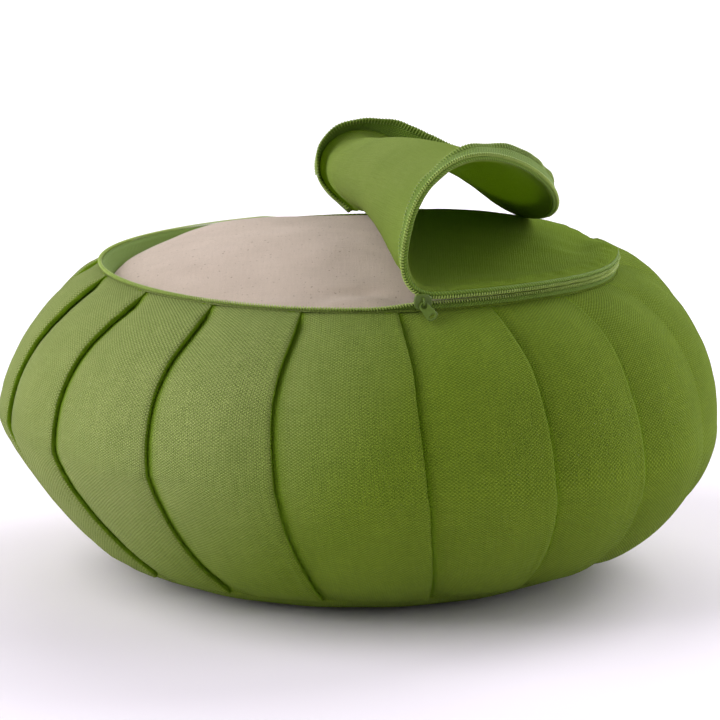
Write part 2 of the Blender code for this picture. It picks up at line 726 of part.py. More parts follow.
def build_pull(metal, collection):
    # A tapered tab that hangs on the crown, with a round hole at its head and an oval one at its foot.
    outline = []
    for k in range(11):
        turn = math.pi * k / 10
        outline.append((PULL_HEAD * math.cos(turn), PULL_HEAD * math.sin(turn)))
    for k in range(11):
        turn = math.pi + math.pi * k / 10
        outline.append((PULL_FOOT * math.cos(turn), -PULL_LENGTH + PULL_FOOT * 0.7 * math.sin(turn)))
    head_hole = [(PULL_HOLE * math.cos(math.tau * k / 12), PULL_HOLE * math.sin(math.tau * k / 12))
                 for k in range(12)]
    foot_hole = [(FOOT_HOLE_HALF_WIDTH * math.cos(math.tau * k / 12),
                  -PULL_LENGTH + FOOT_HOLE_HALF_HEIGHT * math.sin(math.tau * k / 12))
                 for k in range(12)]
    tab = flat_outline("zip_pull", [outline, head_hole, foot_hole], PULL_PLATE, PULL_BEVEL)
    pull = add_object("zip_pull", tab, metal, collection)
    hang = Matrix.Translation((0.0, -CROWN_HALF, SLIDER_PLATE / 2.0 + PULL_STANDOFF))
    lean = Matrix.Rotation(PULL_LEAN, 4, "X")
    swing = Matrix.Rotation(PULL_SWING, 4, "Z")
    pull.matrix_world = slider_frame() @ hang @ swing @ lean


def main():
    clear_scene()
    collection = bpy.data.collections.new(COLLECTION_NAME)
    bpy.context.scene.collection.children.link(collection)
    cutters = bpy.data.collections.new("joining_shapes")
    bpy.context.scene.collection.children.link(cutters)
    canvas = make_material("green_canvas", (0.13, 0.19, 0.03), 0.85)
    casing = make_material("casing_cotton", (0.52, 0.42, 0.34), 0.9)
    tape = make_material("green_zip_tape", (0.12, 0.18, 0.03), 0.75)
    coil = make_material("green_zip_coil", (0.15, 0.21, 0.04), 0.45)
    painted = make_material("green_painted_metal", (0.10, 0.16, 0.03), 0.4)
    build_inner_cushion(casing, collection)
    build_base_panel(canvas, collection)
    build_side_band(canvas, collection)
    build_top_panel(canvas, collection)
    build_zip(tape, coil, collection)
    build_slider(painted, collection, cutters)
    build_pull(painted, collection)


main()
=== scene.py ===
import math
import random

import bpy
import numpy as np
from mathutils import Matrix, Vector


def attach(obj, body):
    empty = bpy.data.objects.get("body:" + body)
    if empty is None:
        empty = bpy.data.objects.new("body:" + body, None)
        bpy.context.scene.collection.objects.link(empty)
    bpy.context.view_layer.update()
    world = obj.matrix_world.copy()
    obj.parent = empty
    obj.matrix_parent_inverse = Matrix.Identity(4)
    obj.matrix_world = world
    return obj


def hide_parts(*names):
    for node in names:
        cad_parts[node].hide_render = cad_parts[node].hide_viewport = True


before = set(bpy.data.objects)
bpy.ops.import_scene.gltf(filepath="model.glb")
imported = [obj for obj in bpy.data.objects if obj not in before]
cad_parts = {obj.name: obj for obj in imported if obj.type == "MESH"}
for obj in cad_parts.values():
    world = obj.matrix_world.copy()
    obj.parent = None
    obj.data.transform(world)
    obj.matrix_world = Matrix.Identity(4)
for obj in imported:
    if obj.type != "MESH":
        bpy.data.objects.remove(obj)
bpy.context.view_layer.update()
print("frame loaded")

mm = 0.001
tau = math.tau
degree = math.pi / 180.0

# The filled body that every piece lies on. Azimuths run from the front (-Y) towards the right (+X).
cushion = {
    "bodyRadius": 203.6 * mm,
    "waistHeight": 87.0 * mm,
    "rimRadius": 147.0 * mm,
    "rimHeight": 176.0 * mm,
    "rimSag": 4.0 * mm,  # the rim is lower on the right
    "rimSagAzimuth": 80.0 * degree,
    "backSag": 3.0 * mm,  # and at the back left, where the zip is open
    "backSagAzimuth": -138.0 * degree,
    "baseSeamRadius": 144.5 * mm,
    "baseSeamHeight": 13.0 * mm,
    "baseFlatRadius": 104.0 * mm,
    "shoulderFullness": 2.02,
    "shoulderFullerRight": 0.40,
    "footFullness": 1.53,
    "footFullerRight": 0.29,
    "waistLowerRight": 3.6 * mm,
    "shoulderOvershoot": 1.10,
    "footOvershoot": 1.14,
    "topEdgeHeight": 171.0 * mm,
    "topDome": 22.0 * mm,
    # Lumps of the filling: place x, y, spread, rise (mm)
    "lumps": ((66.0, 38.0, 42.0, 5.0), (112.0, 66.0, 26.0, 4.5), (-78.0, 96.0, 34.0, 4.6)),
    "leftDip": 4.0 * mm,  # the fill has sunk beside the rim on the left
    "leftDipAzimuth": -98.0 * degree,
    "leftDipStart": 0.6,
}


def smoothStep(low, high, value):
    share = np.clip((value - low) / (high - low), 0.0, 1.0)
    return share * share * (3.0 - 2.0 * share)


def readTable(table, column, place):
    # Cubic curve through one column of a short table, against its first column
    rows = np.array(table, float)
    at, value = rows[:, 0], rows[:, column]
    slope = np.gradient(value)
    slope[1:-1] = (value[2:] - value[:-2]) / (at[2:] - at[:-2])
    slope[0] = (value[1] - value[0]) / (at[1] - at[0])
    slope[-1] = (value[-1] - value[-2]) / (at[-1] - at[-2])
    place = np.clip(place, at[0], at[-1])
    k = np.clip(np.searchsorted(at, place, side="right") - 1, 0, len(at) - 2)
    span = at[k + 1] - at[k]
    share = (place - at[k]) / span
    square, cube = share ** 2, share ** 3
    return ((2 * cube - 3 * square + 1) * value[k] + (cube - 2 * square + share) * slope[k] * span
            + (3 * square - 2 * cube) * value[k + 1] + (cube - square) * slope[k + 1] * span)


def around(radius, azimuth, height):
    radius, azimuth, height = np.broadcast_arrays(radius, azimuth, height)
    return np.stack([radius * np.sin(azimuth), -radius * np.cos(azimuth), height], -1).astype(float)


def unit(vectors):
    return vectors / np.maximum(np.linalg.norm(vectors, axis=-1, keepdims=True), 1e-12)


def lengthAlong(line):
    return np.concatenate([[0.0], np.cumsum(np.linalg.norm(np.diff(line, axis=0), axis=1))])


def readAlong(length, data, spots):
    # Points or directions that are given along a line, read at other places along it
    return np.stack([np.interp(spots, length, data[:, k]) for k in range(3)], -1)


def unevenness(x, y, wavelength, seed, waves=7):
    # Soft seeded unevenness between about -1 and 1, a sum of plane waves
    draw = random.Random(seed)
    total = np.zeros(np.broadcast(x, y).shape)
    for _ in range(waves):
        heading = draw.uniform(0.0, tau)
        length = wavelength * draw.uniform(0.7, 1.6)
        phase = draw.uniform(0.0, tau)
        total = total + np.sin((x * math.cos(heading) + y * math.sin(heading)) * tau / length + phase)
    return total / math.sqrt(waves) * 0.7


def rimSag(azimuth):
    right = np.maximum(0.0, np.cos(azimuth - cushion["rimSagAzimuth"])) ** 8
    back = np.maximum(0.0, np.cos(azimuth - cushion["backSagAzimuth"])) ** 3
    return cushion["rimSag"] * right + cushion["backSag"] * back


def sideProfile(azimuth, share):
    # Radius and height on the side, share 0 at the rim, 0.5 at the waist and 1 at the base seam
    azimuth, share = np.broadcast_arrays(np.asarray(azimuth, float), np.asarray(share, float))
    c = cushion
    rightness = np.sin(azimuth)
    waist = c["waistHeight"] - c["waistLowerRight"] * rightness
    upper = share < 0.5
    fullness = np.where(upper, c["shoulderFullness"] + c["shoulderFullerRight"] * rightness,
                        c["footFullness"] + c["footFullerRight"] * rightness)
    reach = np.where(upper, c["rimHeight"] - rimSag(azimuth) - waist, c["baseSeamHeight"] - waist)
    seamRadius = np.where(upper, c["rimRadius"], c["baseSeamRadius"])
    overshoot = np.where(upper, c["shoulderOvershoot"], c["footOvershoot"])
    part = np.where(upper, 1.0 - share * 2.0, share * 2.0 - 1.0)
    lastTurn = np.arcsin(overshoot ** (-fullness / 2.0))
    turn = lastTurn * part
    drawnIn = (c["bodyRadius"] - seamRadius) / (1.0 - np.cos(lastTurn) ** (2.0 / fullness))
    radius = c["bodyRadius"] - drawnIn * (1.0 - np.cos(turn) ** (2.0 / fullness))
    height = waist + reach * overshoot * np.sin(turn) ** (2.0 / fullness)
    return radius, height


def sidePoint(azimuth, share, out):
    step = 0.01
    radius, height = sideProfile(azimuth, share)
    upper = sideProfile(azimuth, np.maximum(share - step, 0.0))
    lower = sideProfile(azimuth, np.minimum(share + step, 1.0))
    run = unit(np.stack([lower[0] - upper[0], lower[1] - upper[1]], -1))
    return around(radius - run[..., 1] * out, azimuth, height + run[..., 0] * out)


def topFillHeight(x, y):
    c = cushion
    ratio = np.hypot(x, y) / c["rimRadius"]
    towardsDip = (x * math.sin(c["leftDipAzimuth"]) - y * math.cos(c["leftDipAzimuth"])) / c["rimRadius"]
    dip = c["leftDip"] * smoothStep(c["leftDipStart"], 1.0, towardsDip)
    level = c["topEdgeHeight"] + c["topDome"] * (1.0 - ratio ** 2) - dip
    for lumpX, lumpY, spread, rise in c["lumps"]:
        away = np.hypot(x - lumpX * mm, y - lumpY * mm) / (spread * mm)
        level = level + rise * mm * np.exp(-0.5 * away ** 2) * (1.0 - np.minimum(ratio, 1.0) ** 8)
    return level


def putInScene(name, data):
    item = bpy.data.objects.new(name, data)
    bpy.context.scene.collection.objects.link(item)
    return item


def newObject(name, mesh, material):
    mesh.materials.append(material)
    mesh.shade_smooth()
    return putInScene(name, mesh)


def meshFromFaces(name, points, faces, cloth):
    # Cloth holds each point's place on the flat cloth, in metres
    mesh = bpy.data.meshes.new(name)
    mesh.from_pydata(points.tolist(), [], faces)
    layer = mesh.uv_layers.new(name="cloth")
    corner = np.zeros(len(mesh.loops), np.int32)
    mesh.loops.foreach_get("vertex_index", corner)
    layer.uv.foreach_set("vector", np.asarray(cloth, np.float32)[corner].ravel())
    return mesh


def gridQuads(rows, columns, wrapColumns=False, wrapRows=False):
    index = np.arange(rows * columns).reshape(rows, columns)
    if wrapColumns:
        index = np.concatenate([index, index[:, :1]], 1)
    if wrapRows:
        index = np.concatenate([index, index[:1]], 0)
    return np.stack([index[:-1, :-1], index[:-1, 1:], index[1:, 1:], index[1:, :-1]], -1).reshape(-1, 4)


def gridMesh(name, points, cloth, wrapColumns=False, flip=False):
    quads = gridQuads(points.shape[0], points.shape[1], wrapColumns)
    if flip:
        quads = quads[:, ::-1]
    return meshFromFaces(name, points.reshape(-1, 3), quads.tolist(), cloth.reshape(-1, 2))


def thicken(item, thickness, offset=0.0):
    body = item.modifiers.new("cloth", "SOLIDIFY")
    body.thickness = thickness
    body.offset = offset
    body.use_even_offset = False


def tubeMesh(name, line, wire, sides=5, closed=False, across=None):
    # A round thread or wire along a line of points, as one mesh
    line = np.asarray(line, float)
    along = unit(np.gradient(line, axis=0))
    guide = across if across is not None else np.broadcast_to([0.0, 0.0, 1.0], line.shape)
    first = unit(np.cross(along, guide))
    second = np.cross(along, first)
    turn = np.arange(sides) * tau / sides
    ring = (line[:, None] + wire * (np.cos(turn)[None, :, None] * first[:, None]
                                    + np.sin(turn)[None, :, None] * second[:, None]))
    count = len(line)
    cloth = np.stack([np.broadcast_to(lengthAlong(line)[:, None], (count, sides)),
                      np.broadcast_to(turn[None] * wire, (count, sides))], -1)
    faces = gridQuads(count, sides, wrapColumns=True, wrapRows=closed).tolist()
    if not closed:
        faces.append(list(range(sides))[::-1])
        faces.append(list(range((count - 1) * sides, count * sides)))
    return meshFromFaces(name, ring.reshape(-1, 3), faces, cloth.reshape(-1, 2))


def newMaterial(name, roughness, sheen=0.0, sheenRoughness=0.5, sheenTint=(1.0, 1.0, 1.0), specular=0.5):
    material = bpy.data.materials.new(name)
    material.use_nodes = True
    tree = material.node_tree
    shader = tree.nodes["Principled BSDF"]
    for socket, amount in (("Roughness", roughness), ("Sheen Weight", sheen), ("Sheen Roughness", sheenRoughness),
                           ("Sheen Tint", (*sheenTint, 1.0)), ("Specular IOR Level", specular)):
        shader.inputs[socket].default_value = amount
    return material, tree, shader


def value(tree, operation, first, second=None, third=None):
    node = tree.nodes.new("ShaderNodeMath")
    node.operation = operation
    for k, item in enumerate((first, second, third)):
        if item is None:
            continue
        if isinstance(item, (int, float)):
            node.inputs[k].default_value = item
        else:
            tree.links.new(item, node.inputs[k])
    return node.outputs[0]


def clothPlace(tree):
    # Place on the cloth in metres, across and along
    place = tree.nodes.new("ShaderNodeUVMap")
    place.uv_map = "cloth"
    parts = tree.nodes.new("ShaderNodeSeparateXYZ")
    tree.links.new(place.outputs["UV"], parts.inputs[0])
    return place.outputs["UV"], parts.outputs["X"], parts.outputs["Y"]


def vectorMath(tree, operation, first, second):
    node = tree.nodes.new("ShaderNodeVectorMath")
    node.operation = operation
    for socket, item in zip(node.inputs, (first, second)):
        if isinstance(item, tuple):
            socket.default_value = item
        else:
            tree.links.new(item, socket)
    return node.outputs


def stretched(tree, vector, acrossScale, alongScale):
    return vectorMath(tree, "MULTIPLY", vector, (acrossScale, alongScale, 1.0))[0]


def ramp(tree, item, low, high, interpolation="LINEAR"):
    node = tree.nodes.new("ShaderNodeMapRange")
    node.interpolation_type = interpolation
    node.inputs["From Min"].default_value = low
    node.inputs["From Max"].default_value = high
    tree.links.new(item, node.inputs["Value"])
    return node.outputs["Result"]


def clouds(tree, vector, scale, detail=2.0, roughness=0.5):
    node = tree.nodes.new("ShaderNodeTexNoise")
    node.inputs["Scale"].default_value = scale
    node.inputs["Detail"].default_value = detail
    node.inputs["Roughness"].default_value = roughness
    tree.links.new(vector, node.inputs["Vector"])
    return node.outputs["Fac"]


def blendColours(tree, share, low, high):
    node = tree.nodes.new("ShaderNodeMix")
    node.data_type = "RGBA"
    for socket, item in ((node.inputs[0], share), (node.inputs[6], low), (node.inputs[7], high)):
        if isinstance(item, (tuple, list)):
            socket.default_value = (*item, 1.0)
        elif isinstance(item, float):
            socket.default_value = item
        else:
            tree.links.new(item, socket)
    return node.outputs[2]


def setColour(tree, shader, share, low, high):
    tree.links.new(blendColours(tree, share, low, high), shader.inputs["Base Color"])


def setBump(tree, shader, height, distance, strength):
    bump = tree.nodes.new("ShaderNodeBump")
    bump.inputs["Distance"].default_value = distance
    bump.inputs["Strength"].default_value = strength
    tree.links.new(height, bump.inputs["Height"])
    tree.links.new(bump.outputs["Normal"], shader.inputs["Normal"])


def weave(tree, across, along, warpPitch, weftPitch):
    # Runs from -1 to 1, like a chequerboard
    warp = value(tree, "SINE", value(tree, "MULTIPLY", across, math.pi / warpPitch))
    weft = value(tree, "SINE", value(tree, "MULTIPLY", along, math.pi / weftPitch))
    return value(tree, "MULTIPLY", warp, weft)


canvas = {
    "light": (0.306, 0.418, 0.029),  # floats of the warp, which stand higher
    "dark": (0.078, 0.144, 0.004),  # weft between them, lower; their darkness is painted shade in the weave's hollows
    "warpPitch": 1.28 * mm,
    "weftPitch": 0.85 * mm,
    "warpWander": 0.9 * mm,  # how far the threads stray
    "weftWander": 0.7 * mm,
    "contrast": 0.42,  # of the weave in the colour, painted shade on the lower weft floats
    "slub": 0.30,  # of thick and thin yarn
    "unevenDye": 0.3,
    "relief": 1.1 * mm,
    "strength": 1.0,
    "roughness": 0.95,
    "specular": 0.12,
    "sheen": 0.04,
    "sheenRoughness": 0.7,
    "sheenTint": (0.90, 1.0, 0.60),
    "paintedLitGain": (1.62, 1.33, 6.8),  # painted light: gain of the palest side, where the key light falls
    "paintedLitTowards": (-0.8, -0.1, 0.6),  # which is the upper left
    "paintedLitFrom": 0.06,
    "paintedLitTo": 0.18,
    "paintedFoldLight": (0.250, 0.430, 0.006),  # painted light: a brighter green inside the folds, for light bounced into their shade
    "paintedFoldLightShare": 0.9,
    "through": (0.50, 0.68, 0.05),  # light that has passed through the cloth
    "throughShare": 0.12,
    "throughInFolds": 0.45,
    "throughLifted": 0.33,  # the lifted panel is one layer
    # painted light: the lifted panel's canvas is made paler, so that it looks more brightly lit
    "liftedPaintedLight": 1.25,
}


def paintedLightColour(tree, colour, inFold):
    # Painted light: the colour is made paler towards the upper left, where the key light falls, but not inside the
    # folds
    body = tree.nodes.new("ShaderNodeTexCoord").outputs["Object"]
    towards = vectorMath(tree, "DOT_PRODUCT", body, canvas["paintedLitTowards"])["Value"]
    upperLeftShare = ramp(tree, towards, canvas["paintedLitFrom"], canvas["paintedLitTo"], "SMOOTHSTEP")
    paintedLitShare = value(tree, "MULTIPLY", upperLeftShare, value(tree, "SUBTRACT", 1.0, inFold))
    gain = blendColours(tree, paintedLitShare, (1.0, 1.0, 1.0), canvas["paintedLitGain"])
    tint = vectorMath(tree, "MULTIPLY", colour, gain)[0]
    # Painted light: inside the folds the colour turns to a brighter green that stands in for light bounced into their
    # shade
    return blendColours(tree, value(tree, "MULTIPLY", inFold, canvas["paintedFoldLightShare"]), tint, canvas["paintedFoldLight"])


def makeCanvas(name, throughShare, paintedLightScale=1.0):
    # Plain weave: warp floats and weft floats alternate
    material, tree, shader = newMaterial(name, canvas["roughness"], canvas["sheen"], canvas["sheenRoughness"],
                                         canvas["sheenTint"], canvas["specular"])
    place, across, along = clothPlace(tree)
    acrossWander = value(tree, "MULTIPLY_ADD", clouds(tree, place, 90.0), canvas["warpWander"], across)
    alongWander = value(tree, "MULTIPLY_ADD", clouds(tree, place, 70.0), canvas["weftWander"], along)
    crossing = weave(tree, acrossWander, alongWander, canvas["warpPitch"], canvas["weftPitch"])
    slubWarp = clouds(tree, stretched(tree, place, 800.0, 60.0), 1.0)
    slubWeft = clouds(tree, stretched(tree, place, 60.0, 1200.0), 1.0)
    slub = value(tree, "ADD", slubWarp, slubWeft)  # 0 to 2, about 1

    rounded = value(tree, "POWER", value(tree, "ABSOLUTE", crossing), 0.5)
    overWarp = value(tree, "MULTIPLY_ADD", crossing, 0.5, 0.5)
    raised = value(tree, "MULTIPLY_ADD", rounded, 0.35, value(tree, "MULTIPLY", overWarp, 0.8))
    setBump(tree, shader, value(tree, "MULTIPLY_ADD", slub, 0.4, raised), canvas["relief"], canvas["strength"])

    # Painted shade darkens the lower weft floats; thick and thin yarn and uneven dye are the cloth's own
    share = value(tree, "MULTIPLY_ADD", slub, canvas["slub"],
                  value(tree, "MULTIPLY_ADD", crossing, canvas["contrast"], 0.16))
    dye = value(tree, "SUBTRACT", clouds(tree, place, 22.0, 3.0), 0.5)
    shade = tree.nodes.new("ShaderNodeClamp")
    tree.links.new(value(tree, "MULTIPLY_ADD", dye, canvas["unevenDye"], share), shade.inputs[0])
    # A paler copy for the lifted panel is painted light
    dark, light = (tuple(part * paintedLightScale for part in canvas[shadeName]) for shadeName in ("dark", "light"))
    colour = blendColours(tree, shade.outputs[0], dark, light)
    fold = tree.nodes.new("ShaderNodeAttribute")
    fold.attribute_name = "inFold"
    inFold = fold.outputs["Fac"]
    tree.links.new(paintedLightColour(tree, colour, inFold), shader.inputs["Base Color"])

    through = tree.nodes.new("ShaderNodeBsdfTranslucent")
    through.inputs["Color"].default_value = (*canvas["through"], 1.0)
    mixed = tree.nodes.new("ShaderNodeMixShader")
    tree.links.new(value(tree, "MULTIPLY_ADD", inFold, canvas["throughInFolds"], throughShare), mixed.inputs[0])
    tree.links.new(shader.outputs[0], mixed.inputs[1])
    tree.links.new(through.outputs[0], mixed.inputs[2])
    tree.links.new(mixed.outputs[0], tree.nodes["Material Output"].inputs["Surface"])
    return material


casing = {
    "light": (0.585, 0.465, 0.388),
    "dark": (0.390, 0.300, 0.240),
    "fleck": (0.170, 0.115, 0.080),
    "fleckShare": 0.7,
    "fleckFrom": 0.67,  # a higher start gives fewer flecks
    "fleckTo": 0.76,
    "grainPitch": 0.55 * mm,
    "relief": 0.25 * mm,
    "strength": 0.6,
    "roughness": 0.92,
    "sheen": 0.15,
}


def makeCasingCotton():
    material, tree, shader = newMaterial("unbleached_cotton", casing["roughness"], casing["sheen"])
    place, across, along = clothPlace(tree)
    threads = value(tree, "ABSOLUTE", weave(tree, across, along, casing["grainPitch"], casing["grainPitch"]))
    slub = value(tree, "ADD", clouds(tree, stretched(tree, place, 700.0, 50.0), 1.0),
                 clouds(tree, stretched(tree, place, 50.0, 700.0), 1.0))
    setBump(tree, shader, value(tree, "MULTIPLY_ADD", slub, 0.9, threads), casing["relief"], casing["strength"])
    fade = clouds(tree, place, 26.0, 4.0, 0.6)
    share = value(tree, "MULTIPLY_ADD", slub, 0.35, value(tree, "MULTIPLY_ADD", fade, 0.8, -0.65))
    share = value(tree, "MULTIPLY_ADD", clouds(tree, place, 1500.0, 1.0), 0.9, share)
    ground = blendColours(tree, share, casing["dark"], casing["light"])
    specks = clouds(tree, stretched(tree, place, 520.0, 300.0), 1.0, 1.0)
    flecks = ramp(tree, specks, casing["fleckFrom"], casing["fleckTo"])
    spots = value(tree, "MULTIPLY", flecks, casing["fleckShare"])
    setColour(tree, shader, spots, ground, casing["fleck"])
    return material


tape = {
    "light": (0.180, 0.290, 0.016),
    "dark": (0.060, 0.118, 0.003),
    "ribPitch": 1.8 * mm,
    "rowPitch": 2.2 * mm,
    "relief": 0.5 * mm,
    "strength": 0.8,
    "roughness": 0.8,
    "sheen": 0.03,
}


def makeTape():
    # Herringbone: slanting ribs that change direction at every row
    material, tree, shader = newMaterial("herringbone_tape", tape["roughness"], tape["sheen"],
                                         sheenTint=canvas["sheenTint"])
    place, along, across = clothPlace(tree)
    slant = value(tree, "ADD", along, value(tree, "PINGPONG", across, tape["rowPitch"]))
    rib = value(tree, "SINE", value(tree, "MULTIPLY", slant, tau / tape["ribPitch"]))
    height = value(tree, "MULTIPLY_ADD", rib, 0.5, 0.5)
    setBump(tree, shader, height, tape["relief"], tape["strength"])
    share = value(tree, "MULTIPLY_ADD", clouds(tree, place, 900.0), 0.5, value(tree, "MULTIPLY", height, 0.6))
    setColour(tree, shader, share, tape["dark"], tape["light"])
    return material


thread = {
    "twistPitch": 0.9 * mm,
    "twistSlant": 2500.0,
    "relief": 0.08 * mm,
    "strength": 0.5,
    "specular": 0.35,
    "sheen": 0.05,
}

nylon = {"light": (0.50, 0.62, 0.15), "dark": (0.15, 0.25, 0.02), "roughness": 0.32}

overlocking = {
    "light": (0.32, 0.43, 0.08),
    "dark": (0.15, 0.23, 0.02),
    "roughness": 0.6,
    "wire": 0.40 * mm,
    "depth": 3.8 * mm,  # how far the stitches reach in from the edge
    "spacing": 1.9 * mm,
    "standOff": 0.75,  # thread to the middle of the cloth, mm
}


def makeThread(name, look):
    # Twisted thread, and with small relief the nylon of the coils
    material, tree, shader = newMaterial(name, look["roughness"], thread["sheen"], specular=thread["specular"])
    place, along, across = clothPlace(tree)
    slant = value(tree, "MULTIPLY", across, thread["twistSlant"])
    twist = value(tree, "SINE", value(tree, "MULTIPLY_ADD", along, tau / thread["twistPitch"], slant))
    height = value(tree, "MULTIPLY_ADD", twist, 0.5, 0.5)
    setBump(tree, shader, height, thread["relief"], thread["strength"])
    share = value(tree, "MULTIPLY_ADD", height, 0.3, value(tree, "MULTIPLY", clouds(tree, place, 400.0), 0.7))
    setColour(tree, shader, share, look["dark"], look["light"])
    return material


paint = {
    "light": (0.110, 0.170, 0.016),
    "dark": (0.062, 0.108, 0.008),
    "roughness": 0.4,
    "leastRoughness": 0.36,
    "wear": 0.25,  # more roughness where it is worn
    "specular": 0.35,
    "coat": 0.1,
    "relief": 0.03 * mm,
    "strength": 0.4,
}


def makePaintedMetal():
    material, tree, shader = newMaterial("green_enamel", paint["roughness"], specular=paint["specular"])
    shader.inputs["Coat Weight"].default_value = paint["coat"]
    place = tree.nodes.new("ShaderNodeTexCoord").outputs["Object"]
    wear = clouds(tree, place, 900.0, 3.0)
    setColour(tree, shader, wear, paint["dark"], paint["light"])
    rough = value(tree, "MULTIPLY_ADD", wear, paint["wear"], paint["leastRoughness"])
    tree.links.new(rough, shader.inputs["Roughness"])
    setBump(tree, shader, wear, paint["relief"], paint["strength"])
    return material


canvasWeave = makeCanvas("green_canvas_weave", canvas["throughShare"])
# Its canvas is made paler: painted light
flapWeave = makeCanvas("green_canvas_single_layer", canvas["throughLifted"], canvas["liftedPaintedLight"])
casingCotton = makeCasingCotton()
tapeWeave = makeTape()
coilNylon = makeThread("coil_nylon", nylon)
overlockThread = makeThread("overlock_thread", overlocking)
enamel = makePaintedMetal()
print("materials made")


# The side band is one strip laid in knife pleats
pleats = {
    # Each fold: azimuth below the shoulder, and how far it leans on at the rim (degrees)
    "folds": ((-79.0, 4.5), (-57.7, 4.7), (-35.6, 2.8), (-14.0, 1.8), (9.5, -1.0), (30.8, -1.3), (49.8, 0.6),
              (70.8, 2.0), (93.0, 2.0), (116.5, 1.0), (140.0, 0.5), (163.5, 1.5), (187.0, 0.5), (210.5, 1.0),
              (234.0, 2.0), (257.5, 3.0)),
    # Share of the way down: sweep of every fold (degrees), share of its lean
    "sweep": ((0.0, 0.0, 1.0), (0.075, 0.0, 0.85), (0.145, 0.0, 0.45), (0.2, 0.0, 0.15), (0.3, 0.0, 0.0),
              (0.5, 1.1, 0.0), (0.7, 2.4, 0.0), (0.85, 4.2, 0.0), (1.0, 6.2, 0.0)),
    # Height of the cloth between two folds: share of the run, height (mm)
    "heights": ((0.0, -3.2), (0.05, -2.8), (0.14, -2.1), (0.36, -0.7), (0.66, 0.1), (0.92, 0.1), (0.975, 0.5),
                (1.0, 0.35)),
    "puff": 2.2 * mm,
    "deepening": 0.1,  # how much further the folds gape below the rim
    "flattening": 0.8,  # how much the seams press them
    "underlap": 9.0,  # hidden run of each pleat, mm
    "foldRadius": 1.5,  # mm
    "mouthLift": 0.8,  # fold standing off the next gore below the rim, mm
    "bulge": (116.0 * degree, 12.0 * degree, 3.5 * mm),  # one gore stands higher beside the zip's end
    # Ridges of the layers below, in the lower half: distance from the fold, rise (mm)
    "layerRidges": ((5.5, 0.45), (10.5, 0.38), (16.0, 0.3)),
    "ridgeWander": 1.6,  # mm
    "ridgeHalf": 1.3,  # half width, mm
    "unevenRise": 0.6,  # mm
    "rippleRise": 0.14,  # mm
    "seamPucker": 0.25 * mm,
    "unevenRadius": 0.19,  # radius and fall of the cloth that is uneven, m
    "unevenFall": 0.31,
    "flatRadius": 0.195,  # mean radius for the flat size, m
    "turnedIn": 2.0 * mm,  # the band's top edge is turned in and down inside the rim
    "turnedDown": 5.0 * mm,
    "turnedRun": 6.0 * mm,
    "turnedFold": 1.2 * mm,
    "cloth": 0.8 * mm,
    "rows": 62,
}


def foldOpening(share):
    return smoothStep(0.015, 0.06, share) * (1.0 - smoothStep(0.10, 0.36, share))


def goreSection():
    # Columns of one gore along the cloth: share of the run, shift (mm), height (mm), share of the mouth's lift
    under, fold = pleats["underlap"], pleats["foldRadius"]
    columns = [(0.0, -under + 0.3 * under * k, -2.0 * fold - 0.45, 0.0) for k in range(3)]
    runs = np.concatenate([np.linspace(0.0, 0.66, 13), np.linspace(0.66, 1.0, 18)[1:]])
    for run in runs:
        columns.append((run, -fold * smoothStep(0.9, 1.0, run), float(readTable(pleats["heights"], 1, run)),
                        smoothStep(0.72, 1.0, run)))
    for shift, height in ((-0.5, -0.06), (-0.22, -0.24), (-0.04, -0.6), (0.0, -1.1), (0.0, -1.6), (-0.08, -1.96)):
        columns.append((1.0, fold * shift, fold * height, 1.0))
    for k, lift in ((1, 0.4), (2, 0.1), (3, 0.0)):
        part = k / 3.0
        columns.append((1.0, -fold - (under - fold) * part, -2.0 * fold - 0.1 * part, lift))
    columns = np.array(columns, float)
    # How far each column lies inside a fold, where the canvas gets its painted fold light
    inFold = np.where(columns[:, 0] < 0.5, 1.0 - smoothStep(0.0, 0.07, columns[:, 0]),
                      smoothStep(-0.1 * fold, -0.9 * fold, columns[:, 2]))
    return columns, inFold


def foldAzimuths(share):
    # Azimuth of every fold, one more before the first, at each share of the way down
    folds = np.array(pleats["folds"])
    folds = np.concatenate([folds[-1:] - [[360.0, 0.0]], folds])
    sweep, lean = readTable(pleats["sweep"], 1, share), readTable(pleats["sweep"], 2, share)
    return np.radians(folds[None, :, 0] + lean[:, None] * folds[None, :, 1] + sweep[:, None])


def bandRelief(azimuth, share, fromFold, inRun, inSeam, fullness):
    girth, fall = azimuth * pleats["unevenRadius"], share * pleats["unevenFall"]
    uneven, ripple = unevenness(girth, fall, 0.075, 3), unevenness(girth, fall, 0.022, 8)
    relief = fullness * (pleats["unevenRise"] * uneven + pleats["rippleRise"] * ripple) * mm
    nearSeam = np.exp(-share / 0.05) + np.exp(-(1.0 - share) / 0.05)
    pucker = unevenness(azimuth * 0.15, share * 0.05, 0.011, 13)
    relief = relief + pleats["seamPucker"] * nearSeam * inSeam * pucker
    bulgeAzimuth, bulgeHalf, bulgeRise = pleats["bulge"]
    besideZip = np.exp(-0.5 * ((azimuth - bulgeAzimuth) / bulgeHalf) ** 2)
    relief = relief + bulgeRise * besideZip * smoothStep(0.0, 0.03, share) * (1.0 - smoothStep(0.06, 0.24, share))
    lowerHalf = smoothStep(0.38, 0.62, share) * (1.0 - smoothStep(0.9, 0.99, share))
    for place, rise in pleats["layerRidges"]:
        wander = pleats["ridgeWander"] * unevenness(girth, fall, 0.09, int(place * 10))
        ridge = rise * mm * lowerHalf * np.exp(-0.5 * ((fromFold - place - wander) / pleats["ridgeHalf"]) ** 2)
        relief = relief + np.where(inRun, ridge, 0.0)
    return relief


